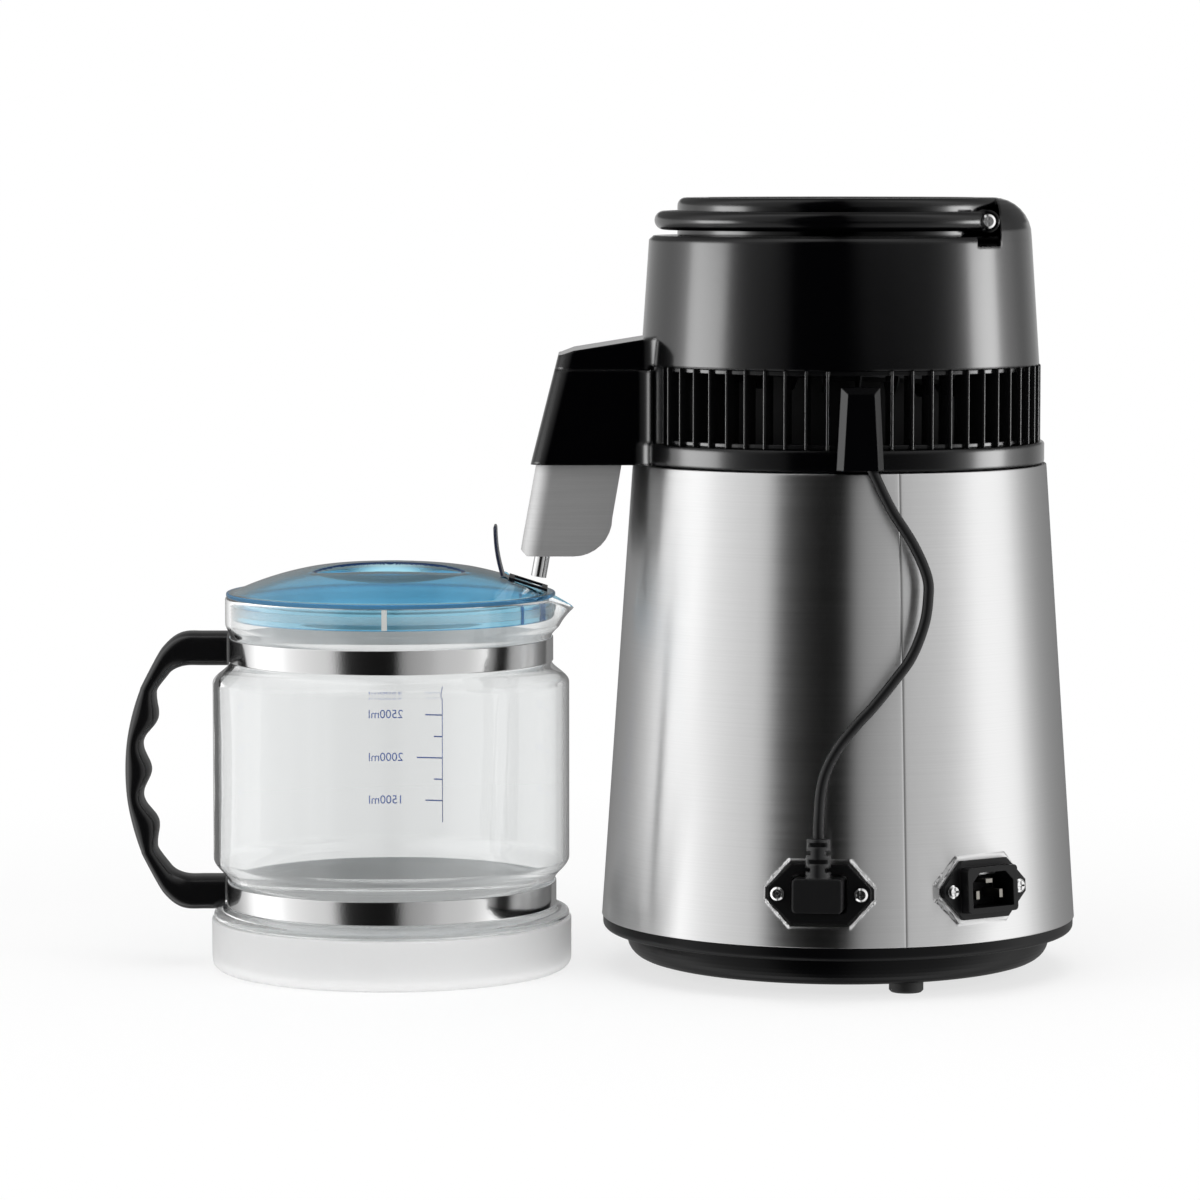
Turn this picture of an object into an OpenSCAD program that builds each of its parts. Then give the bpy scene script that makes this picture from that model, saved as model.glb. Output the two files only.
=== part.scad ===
// Countertop water distiller with its glass carafe.
// Millimetres, +Z up. The Z axis is the axis of the boiler and Z = 0 is the counter.
// The sockets face -Y, the start button faces +Y, and the spout and the carafe are on the -X side.

/* [Boiler body] */
// Radius of the steel shell at its bottom edge
shell_bottom_r = 117.6; // [114:0.1:121]
// Radius of the steel shell at its top edge
shell_top_r = 102.3; // [101:0.1:104]
// Height of the steel shell
shell_h = 225.5; // [218:0.1:240]
// Thickness of the drawn sheet steel
sheet_t = 1.2; // [0.8:0.1:1.5]
// Height of the plastic tray below the shell
tray_h = 20.7; // [19:0.1:24]
// Height of the rubber feet
foot_h = 5.6; // [4:0.1:9]
// Diameter of the rubber feet
foot_d = 16.7; // [12:0.1:20]
// Inner radius of the boiler tank
tank_r = 89; // [86:0.1:90]
// Depth of the boiler tank
tank_depth = 185; // [177:0.1:186]

/* [Sockets] */
// Height of both sockets above the counter
socket_z = 52.4; // [50:0.1:54]
// Turn of the outlet socket from the back centre line, in degrees
outlet_turn = -6.9; // [-9:0.1:-4]
// Turn of the mains inlet from the back centre line, in degrees
inlet_turn = 33.9; // [30:0.1:40]
// Distance between the two screws of a socket flange
flange_pitch = 40; // [39:0.1:41]

/* [Head] */
// Height of the lower ring of the head
ring_h = 10.9; // [9:0.1:12]
// Height of the louvred vents
vent_h = 37.8; // [35:0.1:40]
// Height of the cover wall up to the handle seat
wall_h = 63.2; // [60:0.1:70]
// Height of the round plateau above the handle seat
plateau_h = 18.7; // [17.5:0.1:21]
// Number of louvre fins in a full circle
fin_count = 60; // [48:1:66]
// Diameter of the carry handle bar
bail_d = 9.4; // [8:0.1:10.4]

/* [Spout] */
// Reach of the spout housing from the axis, at its foot
spout_reach = 152.7; // [150:0.1:156]
// Half width of the spout housing
spout_half_w = 31.5; // [30:0.1:33]
// Drop of the steel shroud below the head
shroud_drop = 45.2; // [44:0.1:45.8]
// Outer diameter of the drip tube
drip_d = 7.6; // [6:0.1:8]

/* [Condenser] */
// Radius of the condenser coil
coil_r = 78; // [76:0.1:79]
// Diameter of the coil's tube
coil_d = 9.5; // [8:0.1:11]
// Rise of the coil in one turn
coil_pitch = 24; // [23:0.1:26]
// Diameter of the cooling fins
cooling_d = 22; // [18:0.1:22.4]

/* [Carafe] */
// Distance from the boiler's axis to the carafe's axis
carafe_x = 222.5; // [221:0.1:224]
// Radius of the glass body
glass_r = 88.6; // [86:0.1:90]
// Thickness of the glass
glass_t = 2.6; // [2:0.1:3]
// Clear height between the foot of the shroud and the glass rim
rim_clear = 21.5; // [20.8:0.1:22.2]
// Height of the white boot
boot_h = 25.3; // [22:0.1:27]
// Width of the carafe's handle
grip_w = 23; // [20:0.1:26]

/* [Lead] */
// Diameter of the lead
lead_d = 5.1; // [4.6:0.1:5.6]

/* [Hidden] */
$fn = 96;
eps = 0.01;
loose = 0.4;
fit = 0.1;
seat_gap = 0.2;
plastic_t = 2.4;

// Heights of the body
shell_z0 = foot_h + tray_h;
shell_z1 = shell_z0 + shell_h;
head_z = shell_z1 + seat_gap;
lean = atan((shell_bottom_r - shell_top_r) / shell_h);
tray_floor_t = 3;
tank_flange_z = shell_z1 - seat_gap;
tank_floor_z = tank_flange_z - tank_depth;
tank_under_z = tank_floor_z - sheet_t;
tank_corner = 10;
feet_r = shell_bottom_r - 31.2;
feet_turns = [20, 140, 260];
post_r = 78;
post_d = 10;
post_bore_d = 4.2;
screw_d = 4;
plate_r = 64;
plate_t = 4;
element_r = 50;
element_d = 8;

// Sockets
pad_face = 0.6;
flange_t = 2.5;
flange_face = pad_face + flange_t;
flange_w = flange_pitch + 9;
flange_h = 28.4;
flange_tip = 5.6;
flange_flat = 0.55;
pad_rim = 1.6;
socket_w = 28;
socket_h = 21;
socket_depth = 18;
shroud_out = 6;
pole_w = 24.6;
pole_h = 16.8;
pole_depth = 16;
plug_w = 24;
plug_h = 16.4;
plug_out = 14;
plug_in = 9;
relief_d = 12.6;
relief_top_d = 11;
relief_l = 18.6;
relief_out = flange_face + 7;
poles = [[0, 4, 4, 2], [-7, -2.5, 2, 4], [7, -2.5, 2, 4]];
pin_out = 10;
barrel_d = 19;
button_z = tank_under_z - barrel_d / 2 - 2;
button_d = 16.4;
bezel_d = 24;
button_proud = 3.4;
lamp_z = button_z + 24;
lamp_d = 5;

// Head radii and heights
skirt_r = tank_r - 1.5;
ring_r = shell_top_r - 1.1;
ring_in_r = ring_r - 0.42 * (ring_r - skirt_r);
vent_r = shell_top_r - 3.1;
louvre_depth = 8.4;
louvre_t = 1.5;
hoop_h = 2.2;
cover_foot_r = shell_top_r - 3.8;
cover_top_r = shell_top_r - 8;
plateau_r = shell_top_r - 21.9;
ring_z = head_z + ring_h;
vent_z = ring_z + vent_h;
shoulder_z = vent_z + wall_h;
top_z = shoulder_z + plateau_h;
plateau_round = 4;
grille_r = 66;
grille_t = 2.3;
grille_ledge = 3;
pan_z = head_z + 2.4;
pan_skirt = 12;

// Carry handle
bail_r = (plateau_r + cover_top_r) / 2 - 0.35;
bail_open = 38;
pivot_x = bail_r * cos(bail_open);
pivot_z = shoulder_z + 7.5;
eye_d = 11;
eye_in = 51.2;
eye_out = 60;
pivot_head_d = 7;
boss_end = eye_in - 0.6;
block_x = pivot_x + eye_d / 2 + 0.6;
block_round = plateau_h + 0.4;
notch_drop = 4.6;

// Spout
spout_rake = 14.2;
spout_split_z = vent_z - 2.3;
spout_top = 56;
spout_slope = 9.2;
spout_round = 9;
spout_fillet = 10.5;
shroud_left = spout_reach - 2.5;
shroud_right = shell_top_r + 5.9;
shroud_rake = 7.5;
shroud_half_w = 26;
shroud_z = head_z - shroud_drop;
shroud_t = 1;
drip_rake = 10.2;
drip_x = spout_reach - 3.6;
drip_z = shroud_z - 11.9;
drip_l = 24;
cup_x = (shroud_left + shroud_right) / 2 + 0.8;
cup_d = shroud_left - shroud_right - 8;

// Condenser, fan and motor
riser_x = 44;
coil_start = 10;
coil_end = 870;
coil_step = 12;
coil_top_z = vent_z + 40.5;
motor_z = head_z + 48;
motor_d = 44;
motor_h = 32;
shaft_d = 4;
hub_d = 24;
hub_h = 14;
fan_z = motor_z + motor_h + 7;
fan_r = 51;
blade_count = 5;
leg_r = 50;
leg_d = 8;
duct_t = 1.5;
duct_r = coil_r - cooling_d / 2 - 5.5;

// Cord cover and lead
cover_turn = 2.6;
gland_top_w = 18.6;
gland_foot_w = 22.6;
gland_h = 39.4;
gland_z = head_z + 1.9;
gland_in = ring_r + 0.15;
gland_out = ring_r + 11;
gland_exit = 4.9;
// Each point of the lead: sideways from the back centre line, share of the drop, stand-off from the shell
lead_route = [
    [19.3, 0.112, 6.5],
    [30.2, 0.211, 7.5],
    [36.8, 0.297, 8.5],
    [37.4, 0.358, 9],
    [35.3, 0.431, 9],
    [29.3, 0.515, 8.5],
    [20.7, 0.581, 8],
    [11.2, 0.647, 7.5],
    [3.4, 0.695, 7],
    [-5, 0.755, 6.5],
    [-10.8, 0.815, 6.5],
    [-13.6, 0.874, 7],
];
lead_rings = 24;
lead_sides = 10;

// Carafe
rim_z = shroud_z - rim_clear;
boot_r = glass_r + 1;
boot_t = 2.8;
glass_floor_z = 3.2;
waist_r = glass_r - 7.4;
waist_z0 = boot_h + 6.3;
band_h = 11.8;
neck_r = glass_r - 8.9;
collar_r = glass_r - 6.4;
neck_z1 = rim_z - 20.1;
neck_z0 = neck_z1 - band_h;
body_z0 = waist_z0 + band_h + 12;
body_z1 = neck_z0 - 11;
lip_reach = collar_r + 8.8;
lip_half_w = 15;
band_t = 0.8;
band_gap = 0.15;
ear_t = 2;
ear_l = 14;
upper_band_r = neck_r + band_gap + band_t;
lower_band_r = waist_r + band_gap + band_t;
clamp_in = 9;

// Handle of the carafe: the grip is an arc, mirrored about its middle height
grip_mid_z = (neck_z0 + neck_z1 + waist_z0 * 2 + band_h) / 4;
arm_dz = (neck_z0 + neck_z1) / 2 - grip_mid_z;
grip_arc_r = 111;
grip_reach = 132.3;
grip_thick = 10.3;
grip_bump = 1.6;
grip_bump_pitch = 29;
grip_half_turn = asin((arm_dz - 17.5) / grip_arc_r);
// Outer reach, outer rise from the arm's middle, inner reach, inner rise
grip_bend = [
    [93, 8.4, 93, -8.4],
    [101.5, 8.3, 100.5, -8.4],
    [107, 6.4, 105.2, -9.4],
    [111.8, 2.4, 108.8, -11.3],
    [115.8, -3, 111.6, -14.4],
];

// Lid of the carafe
lid_z = rim_z + seat_gap;
lid_r = collar_r - 0.5;
lid_flange = 2;
lid_t = 2.4;
dome_r = 78;
dome_h = 15;
dome_power = 2.4;
skirt_drop = 11;
lid_skirt_r = collar_r - glass_t - 1;
scoop_y = 21.5;
scoop_d = 42;
scoop_bend_r = 215;
scoop_deep = 7.2;
spout_x0 = 58.9;
spout_x1 = 77.8;
spout_w = 25;
spout_in_z = lid_z + 8.8;
spout_out_z = lid_z + 2.8;
spout_rim = 2.6;
spout_seal_t = 1.3;
hinge_x = 56.2;
hinge_z = lid_z + 8;
hinge_d = 4.4;
flap_pin_d = 2;
flap_l = 27.3;
flap_w = 24;
flap_t = 1.8;
flap_lean = 9;
flap_side = 0.5;

// Shell radius at a height
function shell_radius(z) = shell_bottom_r + (shell_top_r - shell_bottom_r) * (z - shell_z0) / shell_h;

// Cover radius at a height
function cover_radius(z) = cover_foot_r + (cover_top_r - cover_foot_r) * (z - vent_z) / wall_h;

// A point given sideways, up and out from the shell at a turn and height, in the frame of the whole object
function on_shell(turn, z, p) =
    let (out = shell_radius(z) + p[2] * cos(lean) - p[1] * sin(lean))
    let (up = z + p[2] * sin(lean) + p[1] * cos(lean))
    [p[0] * cos(turn) + out * sin(turn), p[0] * sin(turn) - out * cos(turn), up];

function unit(v) = v / norm(v);

// Points of a circular arc
function arc(c, r, a0, a1, n = 8) =
    [for (i = [0:n]) c + r * [cos(a0 + (a1 - a0) * i / n), sin(a0 + (a1 - a0) * i / n)]];

// Points of a smooth step from one outline point to another
function swell(p, q, n = 8) =
    [for (i = [1:n - 1]) [p[0] + (q[0] - p[0]) * (1 - cos(180 * i / n)) / 2, p[1] + (q[1] - p[1]) * i / n]];

// Point on a smooth curve through a list of points, at a share of its length in points
function on_curve(p, s) =
    let (i = min(floor(s), len(p) - 2))
    let (t = s - i)
    let (a = p[max(i - 1, 0)])
    let (b = p[i])
    let (c = p[i + 1])
    let (d = p[min(i + 2, len(p) - 1)])
    (2 * b + (c - a) * t + (2 * a - 5 * b + 4 * c - d) * t ^ 2 + (3 * b - a - 3 * c + d) * t ^ 3) / 2;

// Directions along a list of points
function headings(p) =
    [for (i = [0:len(p) - 1]) unit(p[min(i + 1, len(p) - 1)] - p[max(i - 1, 0)])];

// A side direction carried along a path without twisting
function carried(h, start) =
    [for (i = 0, u = unit(start - h[0] * (start * h[0])); i < len(h);
        i = i + 1, u = i < len(h) ? unit(u - h[i] * (u * h[i])) : u) u];

// Rings of a round tube along a path
function tube_rings(path, d, sides, start) =
    let (h = headings(path))
    let (u = carried(h, start))
    [for (i = [0:len(path) - 1]) [for (k = [0:sides - 1])
        path[i] + d / 2 * (cos(360 * k / sides) * u[i] + sin(360 * k / sides) * cross(h[i], u[i]))]];

// A closed solid through rings that have the same number of points
module loft(rings) {
    n = len(rings[0]);
    last = len(rings) - 1;
    sides = [for (i = [0:last - 1], k = [0:n - 1], half = [0, 1])
        let (a = i * n + k, b = i * n + (k + 1) % n)
        half == 0 ? [a, a + n, b] : [b, a + n, b + n]];
    caps = [[for (k = [0:n - 1]) k], [for (k = [n - 1:-1:0]) last * n + k]];
    polyhedron([for (r = rings, p = r) p], concat(sides, caps), 10);
}

// Places a child on the shell, its Z axis outward and its Y axis up
module at_shell(turn, z) {
    rotate([0, 0, turn]) translate([0, -shell_radius(z), z]) rotate([90 - lean, 0, 0]) children();
}

// Places a child on an upright face of the head at a radius
module at_head(turn, r, z) {
    rotate([0, 0, turn]) translate([0, -r, z]) rotate([90, 0, 0]) children();
}

module at_carafe() {
    translate([-carafe_x, 0, 0]) children();
}

module box(x, y, z) {
    translate([x[0], y[0], z[0]]) cube([x[1] - x[0], y[1] - y[0], z[1] - z[0]]);
}

module both_sides() {
    children();
    mirror([0, 1, 0]) children();
}

module ring(r_in, r_out, z0, z1) {
    translate([0, 0, z0]) difference() {
        cylinder(r = r_out, h = z1 - z0);
        translate([0, 0, -1]) cylinder(r = r_in, h = z1 - z0 + 2);
    }
}

// Rectangle with round corners, centred
module rounded_rect(w, h, r) {
    square([w - 2 * r, h], center = true);
    square([w, h - 2 * r], center = true);
    for (x = [-1, 1], y = [-1, 1]) translate([x * (w / 2 - r), y * (h / 2 - r)]) circle(r);
}

// Side outline extruded across the object, X and Z to the plane
module across(half_w, points) {
    translate([0, half_w, 0]) rotate([90, 0, 0]) linear_extrude(2 * half_w) polygon(points);
}

// Pan head screw with a cross recess, its head on the XY plane and its shank below
module pan_screw(shank_d, shank_l, head_d, head_h) {
    recess = head_d * 0.14;
    difference() {
        union() {
            cylinder(d = head_d, h = head_h * 0.6);
            translate([0, 0, head_h * 0.6]) cylinder(d1 = head_d, d2 = head_d * 0.7, h = head_h * 0.4);
        }
        for (a = [0, 90]) rotate([0, 0, a])
            translate([-head_d * 0.32, -recess / 2, head_h * 0.45]) cube([head_d * 0.64, recess, head_h]);
    }
    translate([0, 0, -shank_l]) cylinder(d = shank_d, h = shank_l);
}

// Hexagonal flange outline, grown by a rim
module flange_outline(grow) {
    a = flange_w / 2 + grow;
    b = flange_h / 2 + grow;
    tip = flange_tip / 2;
    flat = a * flange_flat;
    polygon([[-a, -tip], [-flat, -b], [flat, -b], [a, -tip], [a, tip], [flat, b], [-flat, b], [-a, tip]]);
}

// Recess of a three-pole connector, its two upper corners cut
module pole_outline(w, h) {
    cut = h * 0.27;
    polygon([
        [-w / 2, -h / 2], [w / 2, -h / 2], [w / 2, h / 2 - cut], [w / 2 - cut, h / 2],
        [cut - w / 2, h / 2], [-w / 2, h / 2 - cut],
    ]);
}

// Flange and body that both sockets share
module socket_base() {
    difference() {
        translate([0, 0, pad_face]) linear_extrude(flange_t) flange_outline(0);
        for (x = [-1, 1]) translate([x * flange_pitch / 2, 0, 0]) cylinder(d = 3.4, h = 10);
    }
    translate([0, 0, pad_face - socket_depth]) linear_extrude(socket_depth + eps)
        square([socket_w, socket_h], center = true);
}

module feet() {
    color("#262626") for (t = feet_turns) rotate([0, 0, t]) translate([0, -feet_r, 0]) {
        cylinder(d1 = foot_d - 2, d2 = foot_d, h = 1);
        translate([0, 0, 1]) cylinder(d = foot_d, h = foot_h - 1);
        translate([0, 0, foot_h - eps]) cylinder(d = foot_d / 2, h = tray_floor_t);
    }
}

module base_tray() {
    wall_r = shell_bottom_r - 12.6;
    rise = shell_z0 - 6.5;
    edge_r = shell_bottom_r - 0.6;
    spigot_r = shell_bottom_r - sheet_t - 0.6;
    floor_z = foot_h + tray_floor_t;
    color("#1c1c1d") difference() {
        rotate_extrude() polygon(concat(
            [[0, foot_h]],
            arc([wall_r - 10, foot_h + 10], 10, -90, 0),
            [[wall_r, rise]],
            arc([edge_r - 3, rise + 3], 3, -90, 0),
            [[edge_r, shell_z0], [spigot_r, shell_z0], [spigot_r - 0.8, shell_z0 + 7]],
            [[spigot_r - 3, shell_z0 + 7], [spigot_r - 3, rise + 3], [wall_r - 3, rise + 3]],
            arc([wall_r - 11, floor_z + 8], 8, 0, -90),
            [[0, floor_z]]
        ));
        for (t = feet_turns) rotate([0, 0, t]) {
            translate([0, -feet_r, 0]) cylinder(d = foot_d / 2 + 2 * fit, h = floor_z + 1);
            translate([0, post_r, 0]) cylinder(d = post_bore_d, h = floor_z + 1);
            translate([0, post_r, 0]) cylinder(d = 9, h = foot_h + 1.5);
        }
    }
}

module tank_posts() {
    z0 = foot_h + tray_floor_t;
    color("#9a9c9f") for (t = feet_turns) rotate([0, 0, t]) translate([0, post_r, z0]) difference() {
        cylinder(d = post_d, h = tank_under_z - z0);
        translate([0, 0, -1]) cylinder(d = post_bore_d, h = 22);
    }
}

module tray_screws() {
    color("#b9bbbe") for (t = feet_turns) rotate([0, 0, t]) translate([0, post_r, foot_h + 1.5])
        rotate([180, 0, 0]) pan_screw(screw_d, 18, 7.6, 1.4);
}

module outer_shell() {
    color("#c9cacb") difference() {
        union() {
            rotate_extrude() polygon([
                [0, shell_z0], [shell_bottom_r, shell_z0], [shell_top_r, shell_z1], [0, shell_z1],
            ]);
            for (turn = [outlet_turn, inlet_turn]) at_shell(turn, socket_z)
                translate([0, 0, pad_face - 8]) linear_extrude(8) flange_outline(pad_rim);
        }
        rotate_extrude() polygon([
            [0, shell_z0 - 1], [shell_radius(shell_z0 - 1) - sheet_t, shell_z0 - 1],
            [shell_radius(shell_z1 + 1) - sheet_t, shell_z1 + 1], [0, shell_z1 + 1],
        ]);
        for (turn = [outlet_turn, inlet_turn]) at_shell(turn, socket_z) {
            translate([0, 0, -12]) linear_extrude(20)
                square([socket_w + loose, socket_h + loose], center = true);
            for (x = [-1, 1]) translate([x * flange_pitch / 2, 0, -12]) cylinder(d = 3.2, h = 20);
        }
        at_shell(180, button_z) translate([0, 0, -5]) cylinder(d = barrel_d + loose, h = 10);
        at_shell(180, lamp_z) translate([0, 0, -5]) cylinder(d = lamp_d + loose, h = 10);
    }
}

module boiler_tank() {
    r = tank_r + sheet_t;
    flange_r = shell_radius(shell_z1) - sheet_t - 0.3;
    color("#d4d5d6") rotate_extrude() polygon(concat(
        [[0, tank_under_z]],
        arc([r - tank_corner, tank_under_z + tank_corner], tank_corner, -90, 0),
        [[r, tank_flange_z - sheet_t], [flange_r, tank_flange_z - sheet_t], [flange_r, tank_flange_z]],
        [[tank_r, tank_flange_z]],
        arc([r - tank_corner, tank_under_z + tank_corner], tank_corner - sheet_t, 0, -90),
        [[0, tank_floor_z]]
    ));
}

module heater_plate() {
    color("#a9acaf") translate([0, 0, tank_under_z - plate_t]) cylinder(r = plate_r, h = plate_t);
}

module heating_element() {
    z = tank_under_z - plate_t - element_d / 2 - 0.05;
    color("#6f6a64") {
        translate([0, 0, z]) rotate([0, 0, 12]) rotate_extrude(angle = 336)
            translate([element_r, 0]) circle(d = element_d, $fn = 48);
        for (t = [20, -20]) rotate([0, 0, t]) translate([element_r, 0, z - 16]) cylinder(d = 5, h = 16);
    }
}

module thermostats() {
    z = tank_under_z - plate_t;
    color("#d8d2c4") for (y = [-16, 16]) translate([-6, y, z]) {
        translate([0, 0, -3]) cylinder(d = 19, h = 3);
        translate([0, 0, -10]) cylinder(d = 15, h = 8);
        for (x = [-4, 4]) translate([x - 3, -0.4, -20]) cube([6, 0.8, 11]);
    }
}

module outlet_socket() {
    color("#202021") at_shell(outlet_turn, socket_z) difference() {
        socket_base();
        translate([0, 0, flange_face - 3]) linear_extrude(5) rounded_rect(26.6, 18.6, 2.5);
        translate([0, 0, flange_face - plug_in - 0.5]) linear_extrude(plug_in + 2)
            square([plug_w + loose, plug_h + loose], center = true);
        for (p = poles) translate([p[0], p[1], -14]) linear_extrude(20)
            square([p[2] + loose, p[3] + loose], center = true);
    }
}

module mains_inlet() {
    color("#202021") at_shell(inlet_turn, socket_z) difference() {
        union() {
            socket_base();
            translate([0, 0, flange_face - eps]) linear_extrude(shroud_out)
                rounded_rect(socket_w + 2, socket_h + 1, 2);
        }
        translate([0, 0, flange_face + shroud_out - pole_depth]) linear_extrude(pole_depth + 1)
            pole_outline(pole_w, pole_h);
        for (p = poles) translate([p[0], p[1], -14]) linear_extrude(20)
            square([p[2] + fit, p[3] + fit], center = true);
    }
}

module inlet_pins() {
    z0 = -13.5;
    color("#c7b98a") at_shell(inlet_turn, socket_z) for (p = poles)
        translate([p[0], p[1], z0]) linear_extrude(flange_face + shroud_out - 3 - z0)
            square([p[2], p[3]], center = true);
}

module socket_screws() {
    color("#c4c6c8") for (turn = [outlet_turn, inlet_turn], x = [-1, 1]) at_shell(turn, socket_z)
        translate([x * flange_pitch / 2, 0, flange_face]) pan_screw(3, 8, 6.6, 2.2);
}

module button_bezel() {
    color("#c8cacc") at_shell(180, button_z) difference() {
        union() {
            translate([0, 0, 0.05]) cylinder(d = bezel_d, h = 2);
            translate([0, 0, -10]) cylinder(d = barrel_d, h = 11);
        }
        translate([0, 0, -11]) cylinder(d = button_d + 2 * loose, h = 20);
    }
}

module switch_body() {
    color("#2a2a2b") at_shell(180, button_z) translate([0, 0, -19]) difference() {
        cylinder(d = barrel_d, h = 9);
        translate([0, 0, 3]) cylinder(d = button_d + 2 * loose, h = 9);
    }
}

module start_button() {
    color("#3a3b3d") at_shell(180, button_z) difference() {
        translate([0, 0, -9]) cylinder(d = button_d, h = 9 + button_proud);
        translate([0, 0, button_proud + 29.2]) sphere(r = 30);
    }
}

module indicator_lens() {
    color("#d9efe6") at_shell(180, lamp_z) {
        translate([0, 0, -6]) cylinder(d = lamp_d, h = 6.4);
        translate([0, 0, 0.4]) intersection() {
            translate([0, 0, -2]) sphere(r = 3.4);
            cylinder(d = lamp_d, h = 3);
        }
    }
}

// Raked block of the spout housing with round front corners, shrunk by a wall
module spout_block(wall) {
    length = 80;
    half = spout_half_w - wall;
    r = spout_round - wall;
    translate([-spout_reach + wall / cos(spout_rake), 0, head_z]) rotate([0, spout_rake, 0])
        translate([0, 0, -40]) linear_extrude(140) {
            translate([r, -half]) square([length, 2 * half]);
            translate([0, -half + r]) square([length, 2 * half - 2 * r]);
            for (y = [-1, 1]) translate([r, y * (half - r)]) circle(r);
        }
}

// Slab between two heights that takes in the whole housing
module spout_slab(z0, z1) {
    box([-spout_reach - 10, 0], [-60, 60], [z0, z1]);
}

// Sloping top of the spout housing
module spout_roof(wall) {
    z = head_z + spout_top - wall;
    x = -spout_reach + spout_top * tan(spout_rake);
    rise = 60 * tan(spout_slope);
    drop = 30 * tan(spout_slope);
    across(60, [
        [x - 30, z - 60], [x - 30, z - 3 - drop], [x + 1, z - 2.2],
        [x + 7, z], [x + 67, z + rise], [x + 67, z - 60],
    ]);
}

// Round fillets where the spout housing leaves a ring of a radius
module spout_fillets(r, z0, z1) {
    bite = 0.15;
    y = spout_half_w + spout_fillet - bite;
    x = sqrt((r + spout_fillet - bite) ^ 2 - y ^ 2);
    both_sides() difference() {
        box([-x, -x + 22], [spout_half_w - 1, y * r / (r + spout_fillet) + 0.6], [z0, z1]);
        translate([-x, y, z0 - 1]) cylinder(r = spout_fillet, h = z1 - z0 + 2);
    }
}

module vent_ring() {
    color("#17181a") difference() {
        union() {
            rotate_extrude() polygon(concat(
                [[0, head_z]],
                arc([ring_r - 1.5, head_z + 1.5], 1.5, -90, 0, 4),
                arc([ring_r - 1.5, ring_z - 1.5], 1.5, 0, 90, 4),
                [[0, ring_z]]
            ));
            intersection() {
                spout_block(0);
                spout_slab(head_z, spout_split_z);
            }
            spout_fillets(ring_r, head_z, ring_z);
            spout_fillets(vent_r + loose, ring_z - 2, spout_split_z);
        }
        translate([0, 0, head_z - 1]) cylinder(r = ring_in_r, h = 80);
        translate([0, 0, ring_z]) cylinder(r = vent_r + loose, h = 80);
        intersection() {
            spout_block(plastic_t);
            spout_slab(head_z + plastic_t, spout_split_z + 1);
        }
        translate([-cup_x, 0, head_z - 1]) cylinder(d = cup_d - 2 + 2 * loose, h = plastic_t + 1.5);
    }
}

// Is a louvre at this angle clear of the spout housing and the cord cover
function open_louvre(a) = abs(a - 180) > 25 && abs(a - 270 - cover_turn) > 8;

module louvre_ring() {
    step = 360 / fin_count;
    r_in = vent_r - louvre_depth;
    z0 = ring_z + 0.05;
    z1 = vent_z - 0.2;
    color("#17181a") {
        difference() {
            union() {
                ring(r_in, vent_r - 0.3, z0, z0 + hoop_h);
                ring(r_in, vent_r - 0.3, z1 - hoop_h, z1);
                for (s = [-1, 1]) rotate([0, 0, 180 + s * 21.5 - 5.5]) rotate_extrude(angle = 11)
                    translate([vent_r - 3.4, z0]) square([2.8, z1 - z0]);
            }
            intersection() {
                spout_block(-loose);
                spout_slab(head_z, z1 - hoop_h + 0.1);
            }
        }
        for (i = [0:fin_count - 1]) let (a = i * step)
            if (open_louvre(a)) rotate([0, 0, a])
                translate([r_in + 0.4, -louvre_t / 2, z0 + 0.6])
                    cube([louvre_depth - 0.4, louvre_t, z1 - z0 - 1.2]);
    }
}

// Cover outline turned about the axis: the handle seat and the plateau, shrunk by a wall
module cover_seat(wall) {
    foot = wall > 0 ? vent_z - 1 : vent_z;
    r = plateau_r - wall;
    rotate_extrude() polygon(concat(
        [[0, foot], [cover_radius(foot) - wall, foot]],
        [[cover_radius(shoulder_z - 2) - wall, shoulder_z - 2 - wall]],
        [[cover_top_r - 2 - wall, shoulder_z - wall], [r, shoulder_z - wall]],
        arc([r - plateau_round, top_z - plateau_round - wall], plateau_round, 0, 90, 6),
        [[0, top_z - wall]]
    ));
}

// Full shoulder behind the handle's pivots, shrunk by a wall
module cover_block(wall) {
    r = block_round;
    intersection() {
        rotate_extrude() polygon(concat(
            [[0, shoulder_z - 20], [cover_radius(shoulder_z - 20) - wall, shoulder_z - 20]],
            arc([cover_top_r - wall - r, top_z - wall - r], r, 0, 90),
            [[0, top_z - wall]]
        ));
        box([block_x + wall, 200], [-200, 200], [0, 2 * top_z]);
    }
}

// Space of the notch below a pivot, grown by a wall
module pivot_notch(grow) {
    half = eye_d / 2 + 0.3 + grow;
    both_sides() box([pivot_x - half, pivot_x + half], [eye_in - 0.4 - grow, 120],
        [shoulder_z - notch_drop - grow, top_z + 5]);
}

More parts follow.
